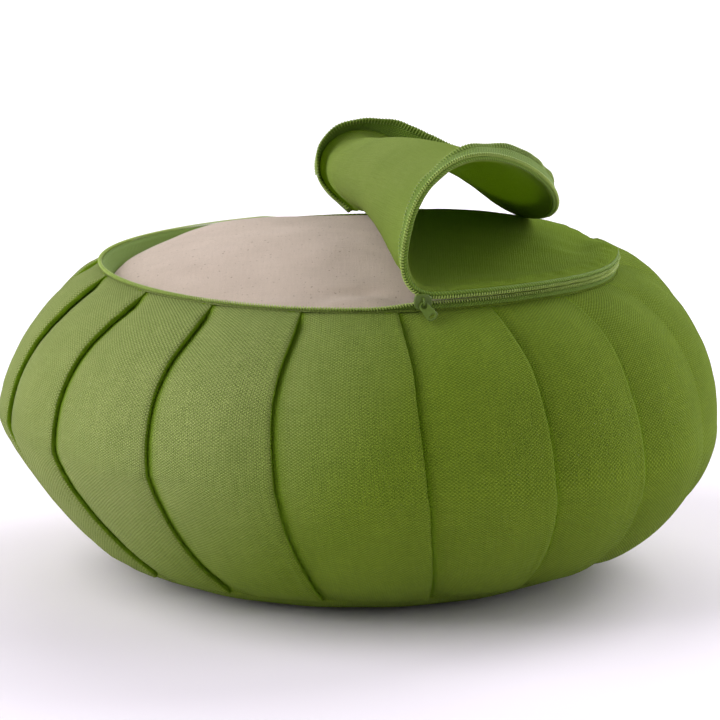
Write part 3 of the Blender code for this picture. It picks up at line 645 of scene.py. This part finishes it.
def buildSideBand():
    section, inFold = goreSection()
    gores = len(pleats["folds"])
    rows = np.linspace(0.0, 1.0, pleats["rows"] + 1)
    folds = foldAzimuths(rows)
    start, end = folds[:, :-1, None], folds[:, 1:, None]
    run, shift, height, mouth = (section[None, None, :, k] for k in range(4))
    radius, level = sideProfile(0.0, rows)
    radius = radius[:, None, None]
    azimuth = start + (end - start) * run + shift * mm / radius
    share = rows[:, None, None] + 0.0 * azimuth

    inSeam = np.minimum(smoothStep(0.0, 0.05, share), smoothStep(-0.02, 0.02, 1.0 - share))
    depth = 1.0 - pleats["flattening"] * (1.0 - inSeam) + pleats["deepening"] * foldOpening(share)
    inRun = (run > 0.0) & (run < 1.0)
    fullness = np.minimum(smoothStep(0.0, 0.10, share), smoothStep(0.0, 0.08, 1.0 - share))
    swell = np.where(inRun, pleats["puff"] * fullness * np.sin(math.pi * np.clip(run, 0.0, 1.0)) ** 0.8, 0.0)
    relief = bandRelief(azimuth, share, (end - azimuth) * radius / mm, inRun, inSeam, fullness)
    lift = mouth * pleats["mouthLift"] * foldOpening(share) * mm
    points = sidePoint(azimuth, share, height * mm * depth + swell + relief + lift).reshape(len(rows), -1, 3)

    down = np.concatenate([[0.0], np.cumsum(np.hypot(np.diff(radius[:, 0, 0]), np.diff(level)))])
    across = (azimuth - (start + end) / 2.0) * radius
    cloth = np.stack([across, np.broadcast_to(down[:, None, None], across.shape)], -1).reshape(len(rows), -1, 2)
    outward = unit(points[:1] * [1.0, 1.0, 0.0])
    points = np.concatenate([points[:1] - outward * pleats["turnedIn"] - [0.0, 0.0, pleats["turnedDown"]],
                             points[:1] - outward * pleats["turnedFold"], points])
    cloth = np.concatenate([cloth[:1] - [0.0, pleats["turnedRun"]], cloth[:1] - [0.0, pleats["turnedFold"]], cloth])
    mesh = gridMesh("pleatedBand", points, cloth, wrapColumns=True, flip=True)
    layer = mesh.attributes.new("inFold", "FLOAT", "POINT")
    layer.data.foreach_set("value", np.tile(inFold, points.shape[0] * gores).astype(np.float32))
    band = newObject("pleatedBand", mesh, canvasWeave)
    thicken(band, pleats["cloth"], -1.0)
    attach(band, "root")
    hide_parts("side_band")


buildSideBand()
print("side band pleated")


# The top panel is one round cut, part lying and part lifted and curled over
panel = {
    "cloth": 1.1 * mm,
    "solidCloth": 2.0 * mm,
    "foldFrontEnd": 15.8 * degree,
    "closedEnd": 102.0 * degree,
    "openEnd": -168.0 * degree,
    "foldBackEnd": 181.0 * degree,
    "edgeOverZip": 189.4 * mm,
    "edgeOverSeam": 180.9 * mm,
    "onset": 14.0 * degree,
    "lipWidth": 11.0 * mm,
    "lipDrop": 3.0 * mm,
    "settle": 7.2 * mm,  # drop of the curl behind its rise
    "rise": 40.0 * mm,
    "unevenRise": 0.35 * mm,
    "rippleRise": 0.1 * mm,
    "edgeWave": 0.7 * mm,  # beside the zip, less where the flap is open
    "normalStep": 0.8 * mm,  # on the flat disc, for the cloth's normals
    "steps": 48,
    "cells": 116,
}

# Section of the curled flap: distance from the fold (mm), direction of the cloth (degrees, 180 level to the left,
# 90 straight up), turn of that direction from the middle of the fold to its back end, more turn at the back only
flapSection = (
    (0.0, 180.0, 0.0, -44.0),
    (18.0, 111.0, 8.0, 10.0),
    (50.0, 53.0, -14.0, -6.0),
    (80.0, 3.0, -34.0, 0.0),
    (110.0, -23.0, -18.0, 0.0),
    (145.0, -50.0, -20.0, 0.0),
    (195.0, -80.0, -31.0, 0.0),
)

# The flap's edge: azimuth on the flat disc (degrees), lean of its flange (degrees, 0 lies on the wrong side of the
# cloth, 90 stands square to it), roll of the margin to its wrong side (mm)
flapEdge = (
    (-200.0, 10.0, 1.0),
    (-172.0, 12.0, 2.0),
    (-160.0, 55.0, 3.0),
    (-150.0, 62.0, 3.0),
    (-138.0, 88.0, 3.0),
    (-128.0, 78.0, 3.0),
    (-108.0, 24.0, 1.0),
    (-70.0, 22.0, 0.3),
    (-52.0, 40.0, 0.3),
    (-30.0, 44.0, 0.3),
    (-18.0, 28.0, 0.3),
    (0.0, 14.0, 0.3),
    (16.0, 8.0, 0.3),
)

foldFront = around(cushion["rimRadius"], panel["foldFrontEnd"], 0.0)
foldBack = around(cushion["rimRadius"], panel["foldBackEnd"], 0.0)
foldMiddle = (foldFront + foldBack) / 2.0
foldRun = unit(foldBack - foldFront)
foldSide = np.array([foldRun[1], -foldRun[0], 0.0])
foldHalf = np.linalg.norm(foldBack - foldFront) / 2.0


def endDrop(azimuth):
    # The top panel's edge sinks towards the zip's closed end
    over = smoothStep(panel["closedEnd"] - 12.0 * degree, panel["closedEnd"] + 5.0 * degree, azimuth % tau)
    return (panel["edgeOverZip"] - panel["edgeOverSeam"]) * over


def lyingHeight(x, y):
    radius = cushion["rimRadius"]
    ratio = np.minimum(np.hypot(x, y) / radius, 1.05)
    azimuth = np.arctan2(x, -y)
    edge = panel["edgeOverZip"] - endDrop(azimuth)
    rim = around(radius, azimuth, 0.0)
    rise = edge - rimSag(azimuth) - topFillHeight(rim[..., 0], rim[..., 1]) - panel["solidCloth"]
    return topFillHeight(x, y) + panel["solidCloth"] + rise * ratio ** 5


def panelPlace(x, y):
    # Where points of the flat disc go. Those left of the fold follow the curled section
    flat = np.stack([x, y, 0.0 * x], -1) - foldMiddle
    across = flat @ foldRun
    beyond = -(flat @ foldSide)
    lying = np.stack([x, y, lyingHeight(x, y)], -1)
    root = foldMiddle + foldRun * across[..., None]
    height = lyingHeight(root[..., 0], root[..., 1])
    height = height - panel["settle"] * (1.0 - (across / foldHalf) ** 2) * smoothStep(0.0, panel["rise"], beyond)
    step = np.maximum(beyond, 0.0) / panel["steps"]
    end = across / foldHalf
    level = np.zeros_like(height)
    for k in range(panel["steps"]):
        place = (k + 0.5) * step / mm
        heading = np.radians(readTable(flapSection, 1, place) + readTable(flapSection, 2, place) * end
                             + readTable(flapSection, 3, place) * np.maximum(end, 0.0) ** 2)
        level = level + np.cos(heading) * step
        height = height + np.sin(heading) * step
    curled = root + foldSide * level[..., None]
    curled[..., 2] = height
    return np.where((beyond > 0.0)[..., None], curled, lying)


def openness(azimuth):
    # 0 where the edge is zipped or sewn down, 1 along the open flap
    back = panel["foldBackEnd"]
    turn = (azimuth - back) % tau + back - tau
    lying = smoothStep(panel["foldFrontEnd"] - panel["onset"], panel["foldFrontEnd"], turn)
    return 1.0 - lying * (1.0 - smoothStep(back - panel["onset"], back, turn))


def panelFrame(x, y):
    step = panel["normalStep"]
    here = panelPlace(x, y)
    alongX = panelPlace(x + step, y) - panelPlace(x - step, y)
    alongY = panelPlace(x, y + step) - panelPlace(x, y - step)
    return here, -unit(np.cross(alongX, alongY))


# Creases of the lying part and the flap on the flat disc: start x, start y, end x, end y, rise, half width (mm)
panelCreases = (
    (30.0, 52.0, 104.0, 40.0, 1.6, 9.0),
    (118.0, -22.0, 132.0, 22.0, -2.6, 8.0),
    (104.0, -30.0, 120.0, 8.0, 1.2, 6.0),
    (46.0, -128.0, 78.0, -112.0, -1.4, 4.0),
    (40.0, -118.0, 96.0, -96.0, 0.8, 7.0),
    (60.0, 90.0, 104.0, 70.0, -1.2, 8.0),
    (-60.0, -60.0, -20.0, -20.0, 0.8, 12.0),
    (-90.0, 20.0, -40.0, 60.0, -0.8, 14.0),
)


def creaseRise(x, y, table):
    total = np.zeros(np.broadcast(x, y).shape)
    for startX, startY, endX, endY, rise, half in table:
        lineX, lineY = (endX - startX) * mm, (endY - startY) * mm
        length = math.hypot(lineX, lineY)
        along = ((x - startX * mm) * lineX + (y - startY * mm) * lineY) / length ** 2
        off = ((x - startX * mm) * lineY - (y - startY * mm) * lineX) / length
        fade = smoothStep(-0.15, 0.3, along) * (1.0 - smoothStep(0.7, 1.15, along))
        total = total + rise * mm * fade * np.exp(-0.5 * (off / (half * mm)) ** 2)
    return total


def panelPoint(x, y):
    here, wrongSide = panelFrame(x, y)
    margin = cushion["rimRadius"] - np.hypot(x, y)
    roll = np.maximum(0.0, 1.0 - margin / panel["lipWidth"]) ** 2
    azimuth = np.arctan2(x, -y)
    looseDrop = readTable(flapEdge, 2, np.degrees(azimuth)) * mm
    loose = openness(azimuth)
    drop = panel["lipDrop"] + (looseDrop - panel["lipDrop"]) * loose
    relief = creaseRise(x, y, panelCreases) + panel["unevenRise"] * unevenness(x, y, 0.06, 5)
    relief = relief + panel["rippleRise"] * unevenness(x, y, 0.02, 6)
    relief = relief * (1.0 - smoothStep(0.88, 0.99, np.hypot(x, y) / cushion["rimRadius"]))
    wave = panel["edgeWave"] * (1.0 - 0.6 * loose) * unevenness(azimuth * 0.147, 0.0 * azimuth, 0.017, 31)
    relief = relief + wave * np.exp(-((margin - 5.0 * mm) / (3.5 * mm)) ** 2)
    return here + wrongSide * (drop * roll - relief)[..., None], wrongSide


def buildTopPanel():
    line = np.linspace(-1.0, 1.0, panel["cells"] + 1)
    line = 0.72 * line + 0.28 * np.sin(line * math.pi / 2.0)
    a, b = np.meshgrid(line, line, indexing="ij")
    radius = cushion["rimRadius"]
    flatAcross = a * np.sqrt(1.0 - b ** 2 / 2.0) * radius
    flatSide = b * np.sqrt(1.0 - a ** 2 / 2.0) * radius
    x = flatAcross * foldRun[0] + flatSide * foldSide[0]
    y = flatAcross * foldRun[1] + flatSide * foldSide[1]
    points = panelPoint(x, y)[0]
    mesh = gridMesh("liftedPanel", points, np.stack([x, y], -1))
    top = newObject("liftedPanel", mesh, flapWeave)
    thicken(top, panel["cloth"])
    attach(top, "root")
    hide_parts("top_panel")


buildTopPanel()
print("top panel curled")


base = {
    "cloth": 1.2 * mm,
    "inset": 0.6 * mm,  # inside the band's seam
    "drop": 0.4 * mm,  # and below it
    "bend": 1.8,  # how late the panel curves up
    "pucker": 0.5 * mm,
    "innerRing": 2.0 * mm,
    "rings": 34,
    "sides": 128,
    "flatAcross": 0.296,  # of the flat disc, m
    "flatArea": 0.0688,  # m2
}


def buildBasePanel():
    reach, flat, sides = cushion["baseSeamRadius"] - base["inset"], cushion["baseFlatRadius"], base["sides"]
    radius = np.linspace(base["innerRing"], reach, base["rings"])[:, None]
    azimuth = (np.arange(sides) * tau / sides)[None]
    part = np.clip((radius - flat) / (reach - flat), 0.0, 1.0)
    lift = (cushion["baseSeamHeight"] - base["drop"]) * part ** base["bend"]
    pucker = base["pucker"] * part * (1.0 + np.cos(azimuth * len(pleats["folds"])))
    rings = around(radius, azimuth, base["cloth"] + lift + pucker).reshape(-1, 3)
    points = np.concatenate([rings, [[0.0, 0.0, base["cloth"]]]])
    faces = gridQuads(base["rings"], sides, wrapColumns=True).tolist()
    faces += [[len(rings), (k + 1) % sides, k][::-1] for k in range(sides)]
    under = newObject("basePanel", meshFromFaces("basePanel", points, faces, points[:, :2]), canvasWeave)
    thicken(under, base["cloth"], -1.0)
    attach(under, "root")
    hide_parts("base_panel")


buildBasePanel()
print("base panel laid")


# The inner cushion is the filled casing
filling = {
    "sides": 144,
    "floor": 2.4 * mm,
    "footRadii": (8.0, 30.0, 60.0, 90.0, 104.0),  # mm
    "footTurn": (124.0 * mm, 4.6 * mm),  # radius and rise where the casing leaves the base panel
    "sideShares": (0.985, 0.93, 0.86, 0.78, 0.69, 0.59, 0.49, 0.39, 0.29, 0.20, 0.13, 0.08),
    "fall": 8.5 * mm,  # pleats to casing
    "edgeRadius": 140.0,  # its top edge, mm
    "edgeDrop": 2.5 * mm,
    "puckering": 1.6,
    "unevenRise": 0.5 * mm,
    "rippleRise": 0.12 * mm,
    "settled": 0.3 * mm,
}

# Low puckers of the casing, seen from above: start x, start y, end x, end y, rise, half width (mm)
casingPuckers = (
    (-60.0, -126.0, -18.0, -112.0, 0.9, 3.5),
    (-40.0, -118.0, 14.0, -106.0, -1.1, 4.5),
    (-20.0, -128.0, 20.0, -120.0, 0.9, 3.5),
    (-4.0, -108.0, 30.0, -122.0, -0.9, 4.0),
    (-96.0, -60.0, -60.0, -20.0, 0.7, 12.0),
    (-70.0, 20.0, -20.0, 60.0, -0.9, 14.0),
    (-30.0, -60.0, 10.0, -20.0, 0.6, 12.0),
)


def casingTop(radius, azimuth):
    ring = around(radius * mm, azimuth, 0.0)
    x, y = ring[:, 0], ring[:, 1]
    inner = 1.0 - smoothStep(0.86, 0.97, np.full(len(azimuth), radius / 147.0))
    relief = filling["puckering"] * creaseRise(x, y, casingPuckers) + filling["unevenRise"] * unevenness(x, y, 0.07, 11)
    relief = relief + filling["rippleRise"] * unevenness(x, y, 0.018, 12)
    ring[:, 2] = topFillHeight(x, y) + (relief - filling["settled"]) * inner
    return ring


def buildCasing():
    sides, floor = filling["sides"], filling["floor"]
    azimuth = np.arange(sides) * tau / sides
    turnRadius, turnRise = filling["footTurn"]
    rings = [around(radius * mm, azimuth, floor) for radius in filling["footRadii"]]
    rings.append(around(turnRadius, azimuth, floor + turnRise))
    rings += [sidePoint(azimuth, np.full(sides, share), -filling["fall"]) for share in filling["sideShares"]]
    edge = casingTop(filling["edgeRadius"], azimuth)
    edge[:, 2] -= filling["edgeDrop"]
    rings.append(edge)
    rings += [casingTop(radius, azimuth) for radius in np.arange(136.0, 4.0, -3.0)]
    rows = len(rings)
    low, last = rows * sides, (rows - 1) * sides
    ends = [[0.0, 0.0, floor], [0.0, 0.0, float(topFillHeight(0.0, 0.0))]]
    points = np.concatenate([np.stack(rings).reshape(-1, 3), ends])
    faces = gridQuads(rows, sides, wrapColumns=True).tolist()
    faces += [[low, (k + 1) % sides, k] for k in range(sides)]
    faces += [[low + 1, last + k, last + (k + 1) % sides] for k in range(sides)]
    inner = newObject("innerCushion", meshFromFaces("innerCushion", points, faces, points[:, :2]), casingCotton)
    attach(inner, "root")
    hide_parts("inner_cushion")


buildCasing()
print("inner cushion filled")


zipper = {
    "coilRadius": 1.15 * mm,
    "coilPitch": 1.59 * mm,
    "wire": 0.40 * mm,
    "stepsPerTurn": 9,
    "coilOverhang": 1.4 * mm,
    "coilGap": 0.5 * mm,
    "lowerCoilRadius": 147.2 * mm,
    "lowerCoilHeight": 180.9 * mm,
    "lowerCoilDrop": 2.7 * mm,  # where the zip is open
    "backDip": 3.5 * mm,
    "tapeFootHeight": 163.5 * mm,
    "tapeFootRadius": 139.6 * mm,
    "closedFoot": 6.0 * mm,  # further out where the zip is closed
    "tapeHeadRadius": 146.2 * mm,
    "tapeWidth": 6.2 * mm,
    "allowanceWidth": 10.6 * mm,
    "hiddenWidth": 4.0 * mm,
    "edgeFold": 0.95 * mm,  # radius in which the top panel turns into its allowance
    "tapeCloth": 0.6 * mm,
    "allowanceCloth": 0.8 * mm,
    "tapeWave": 0.15 * mm,
    "flutter": 0.8 * mm,  # of the open flap's flange
    "tapeEnd": -178.6 * degree,  # the tapes run on past the coils to the back seam
    "stepsAlong": 460,
    "weltRadius": 146.8 * mm,
    "weltHeight": 176.6 * mm,
    "weltWire": 0.75 * mm,
}


def edgeFrame(azimuth):
    # The top panel's edge: place, outward in the cloth, wrong-side normal
    radius = cushion["rimRadius"]
    step = 0.5 * degree

    def edgeAt(turn, back=0.0):
        spot = around(radius - back, turn, 0.0)
        return panelPoint(spot[..., 0], spot[..., 1])[0]

    edge = edgeAt(azimuth)
    along = unit(edgeAt(azimuth + step) - edgeAt(azimuth - step))
    outward = edge - edgeAt(azimuth, 1.5 * mm)
    outward = unit(outward - along * np.sum(outward * along, -1, keepdims=True))
    return edge, outward, np.cross(along, outward)


def upperCoilLine(azimuth):
    edge, outward, wrongSide = edgeFrame(azimuth)
    lift = panel["solidCloth"] / 2.0 + zipper["coilGap"] + zipper["coilRadius"]
    return edge + outward * zipper["coilOverhang"] + wrongSide * lift, outward, wrongSide


def lowerCoilLine(azimuth):
    height = zipper["lowerCoilHeight"] - rimSag(azimuth) - zipper["lowerCoilDrop"] * openness(azimuth)
    height = height - endDrop(azimuth) * (azimuth > 0.0)
    # and it dips into the back seam at its other end
    seated = smoothStep(panel["openEnd"], panel["openEnd"] + 12.0 * degree, azimuth)
    return around(zipper["lowerCoilRadius"], azimuth, height - zipper["backDip"] * (1.0 - seated))


def coilAlong(name, line, sideways, upwards, node):
    # One wound wire: a flattened helix round the line
    length = lengthAlong(line)
    turns = int(length[-1] / zipper["coilPitch"])
    spot = np.linspace(0.0, length[-1], turns * zipper["stepsPerTurn"] + 1)
    centre = readAlong(length, line, spot)
    side, up = unit(readAlong(length, sideways, spot)), unit(readAlong(length, upwards, spot))
    turn = tau * spot / zipper["coilPitch"]
    reach = zipper["coilRadius"] - zipper["wire"]
    sideReach = reach * np.sign(np.cos(turn)) * np.abs(np.cos(turn)) ** 0.8
    upReach = reach * np.sign(np.sin(turn)) * np.abs(np.sin(turn)) ** 0.8
    wound = centre + side * sideReach[:, None] + up * upReach[:, None]
    mesh = tubeMesh(name, wound, zipper["wire"], 5, across=unit(wound - centre + 1e-9))
    coil = newObject(name, mesh, coilNylon)
    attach(coil, "root")
    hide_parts(node)


def ribbon(name, sections, alongLength, material, cloth, node=None):
    # A strip from sections of points across it. Cloth places: along, across
    sections = np.asarray(sections)
    across = np.concatenate([np.zeros((len(sections), 1)),
                             np.cumsum(np.linalg.norm(np.diff(sections, axis=1), axis=2), axis=1)], 1)
    places = np.stack([np.broadcast_to(alongLength[:, None], across.shape), across], -1)
    mesh = gridMesh(name, sections, places)
    strip = newObject(name, mesh, material)
    thicken(strip, cloth)
    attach(strip, "root")
    if node:
        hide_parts(node)


def overlock(name, edge, inward, face):
    # Thread that wraps an edge: over one face, round the edge and back over the other face
    depth, spacing = overlocking["depth"], overlocking["spacing"]
    length = lengthAlong(edge)
    # Share of a stitch, distance in from the edge, side of the cloth
    stitch = np.array(((0.0, depth, 1.0), (0.2, depth * 0.5, 1.1), (0.42, 0.2 * mm, 0.9), (0.5, -0.4 * mm, 0.0),
                       (0.58, 0.2 * mm, -0.9), (0.75, depth * 0.5, -1.1), (0.9, depth, -1.0), (0.96, depth, 0.0)))
    count = int(length[-1] / spacing)
    spots = ((np.arange(count)[:, None] + stitch[:, 0]) * spacing).ravel()
    backs, sides = np.tile(stitch[:, 1], count), np.tile(stitch[:, 2], count)
    line = readAlong(length, edge, spots) + unit(readAlong(length, inward, spots)) * backs[:, None]
    line = line + unit(readAlong(length, face, spots)) * (sides * overlocking["standOff"] * mm)[:, None]
    wrapped = newObject(name, tubeMesh(name, line, overlocking["wire"], 4), overlockThread)
    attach(wrapped, "root")


def buildLowerTape(azimuth):
    # Stands up inside the band's folded edge, with the coil at its top
    out = around(1.0, azimuth, 0.0)
    loose = openness(azimuth)
    footRadius = zipper["tapeFootRadius"] + zipper["closedFoot"] * (1.0 - loose)
    foot = around(footRadius, azimuth, zipper["tapeFootHeight"] - rimSag(azimuth))
    head = around(zipper["tapeHeadRadius"], azimuth, lowerCoilLine(azimuth)[:, 2] - zipper["coilRadius"] * 0.4)
    wave = zipper["tapeWave"] * unevenness(azimuth * 0.147, 0.0 * azimuth, 0.03, 21)
    sections = []
    for part in np.linspace(0.0, 1.0, 7):
        bow = wave + (0.6 - 2.5 * loose) * mm * math.sin(math.pi * part)
        sections.append(foot + (head - foot) * part + out * bow[:, None])
    ribbon("zipTapeLower", np.stack(sections, 1), lengthAlong(head), tapeWeave, zipper["tapeCloth"],
           "zip_tape_lower")


def buildFlange(azimuth):
    # The top panel's edge turns over and runs back as its allowance, with the tape on it
    edge, outward, wrongSide = edgeFrame(azimuth)
    coil = upperCoilLine(azimuth)[0]
    lean = np.radians(readTable(flapEdge, 1, np.degrees(azimuth)))
    run = wrongSide * np.sin(lean)[:, None] - outward * np.cos(lean)[:, None]
    flat = wrongSide * np.cos(lean)[:, None] + outward * np.sin(lean)[:, None]
    loose = openness(azimuth)
    flutter = loose * zipper["flutter"] * unevenness(azimuth * 0.2, 0.0 * azimuth, 0.045, 23)
    along = lengthAlong(coil)
    parts = np.linspace(0.0, 1.0, 8)

    width = zipper["hiddenWidth"] + (zipper["tapeWidth"] - zipper["hiddenWidth"]) * loose
    start = zipper["coilRadius"] * 0.5
    tapeRun = [coil + run * (start + width * part)[:, None] + flat * (flutter * part ** 2 * 0.4)[:, None]
               for part in parts]
    ribbon("zipTapeUpper", np.stack(tapeRun, 1), along, tapeWeave, zipper["tapeCloth"],
           "zip_tape_upper")

    fold = zipper["edgeFold"]
    arc = []
    for part in np.linspace(0.0, 1.0, 7):
        turn = (math.pi - lean) * part
        arc.append(edge + outward * (fold * np.sin(turn))[:, None] + wrongSide * (fold * (1.0 - np.cos(turn)))[:, None])
    width = zipper["hiddenWidth"] + (zipper["allowanceWidth"] - zipper["hiddenWidth"]) * loose
    end = coil + run * (start + width)[:, None] - flat * (0.7 * mm - flutter)[:, None]
    for part in parts[1:]:
        straight = arc[6] + (end - arc[6]) * part
        arc.append(straight + flat * (flutter * (part ** 2 - part))[:, None])
    ribbon("flangeAllowance", np.stack(arc, 1), along, tapeWeave, zipper["allowanceCloth"])
    free = loose > 0.5
    overlock("flangeOverlock", end[free], -run[free], flat[free])


def buildZip():
    azimuth = np.linspace(panel["closedEnd"], panel["openEnd"], zipper["stepsAlong"])
    upper, outward, wrongSide = upperCoilLine(azimuth)
    out = around(1.0, azimuth, 0.0)
    up = np.broadcast_to([0.0, 0.0, 1.0], out.shape)
    coilAlong("zipCoilUpper", upper, outward, wrongSide, "zip_coil_upper")
    coilAlong("zipCoilLower", lowerCoilLine(azimuth), out, up, "zip_coil_lower")
    azimuth = np.linspace(panel["closedEnd"], zipper["tapeEnd"], zipper["stepsAlong"])
    buildLowerTape(azimuth)
    buildFlange(azimuth)
    ring = np.linspace(0.0, tau, 361)
    line = around(zipper["weltRadius"], ring, zipper["weltHeight"] - rimSag(ring))
    welt = newObject("rimWelt", tubeMesh("rimWelt", line[:-1], zipper["weltWire"], 8, closed=True), canvasWeave)
    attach(welt, "root")
    for node in ("zip_slider", "zip_pull"):
        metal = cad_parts[node]
        metal.data.materials.clear()
        metal.data.materials.append(enamel)


buildZip()
print("zip sewn in")


studio = {
    "floor": (0.93, 0.865, 0.965),
    "floorSize": 60.0,
    "floorPlace": (0.0, 10.0, 0.0),
    "floorRoughness": 0.75,
    "worldStrength": 0.20,
    # Round soft lamps: name, place (m), aim (m), diameter (m), power (W)
    "lamps": (
        ("keyLamp", (-1.6, -0.3, 1.3), (0.0, 0.0, 0.1), 2.2, 37.0),
        ("lowLeftLamp", (-2.0, -1.2, 0.8), (0.0, 0.0, 0.1), 1.2, 15.0),
        ("rightLamp", (2.0, 0.2, 1.1), (0.0, 0.0, 0.1), 2.0, 22.0),
        ("rightRearLamp", (1.5, 1.6, 1.6), (0.0, 0.0, 0.1), 1.5, 40.0),
        ("rearLamp", (0.0, 2.2, 1.6), (0.0, 0.0, 0.1), 1.8, 16.0),
        ("frontRightLamp", (1.4, -1.8, 0.9), (0.0, 0.0, 0.15), 1.0, 5.0),
        ("backdropLamp", (0.0, 3.2, 1.6), (0.0, 3.2, 0.0), 3.0, 16.0),
    ),
}


def buildStudio():
    bpy.ops.mesh.primitive_plane_add(size=studio["floorSize"], location=studio["floorPlace"])
    floor = bpy.context.object
    floor.name = "studioFloor"
    material, tree, shader = newMaterial("pale_floor", studio["floorRoughness"])
    shader.inputs["Base Color"].default_value = (*studio["floor"], 1.0)
    floor.data.materials.append(material)
    world = bpy.data.worlds.new("studioWorld")
    bpy.context.scene.world = world
    world.use_nodes = True
    background = world.node_tree.nodes["Background"]
    background.inputs["Color"].default_value = (1.0, 1.0, 1.0, 1.0)
    background.inputs["Strength"].default_value = studio["worldStrength"]

    for name, place, aim, size, power in studio["lamps"]:
        light = bpy.data.lights.new(name, "AREA")
        light.shape = "DISK"
        light.size = size
        light.energy = power
        lamp = putInScene(name, light)
        lamp.location = place
        lamp.rotation_euler = (Vector(aim) - Vector(place)).to_track_quat("-Z", "Y").to_euler()
    bpy.context.scene.view_settings.view_transform = "Standard"


camera = {
    "place": (0.00086, -2.92705, 0.74984),
    "tilt": math.radians(90.0 - 12.662 + 0.486),
    "lens": 261.78,
    "sensor": 36.0,
    "reach": 200.0,
}


def buildCamera():
    data = bpy.data.cameras.new("camera")
    data.lens = camera["lens"]
    data.sensor_width = camera["sensor"]
    data.sensor_fit = "HORIZONTAL"
    data.clip_end = camera["reach"]
    item = putInScene("camera", data)
    item.location = camera["place"]
    item.rotation_euler = (camera["tilt"], 0.0, 0.0)
    bpy.context.scene.camera = item


buildStudio()
buildCamera()
print("studio set")
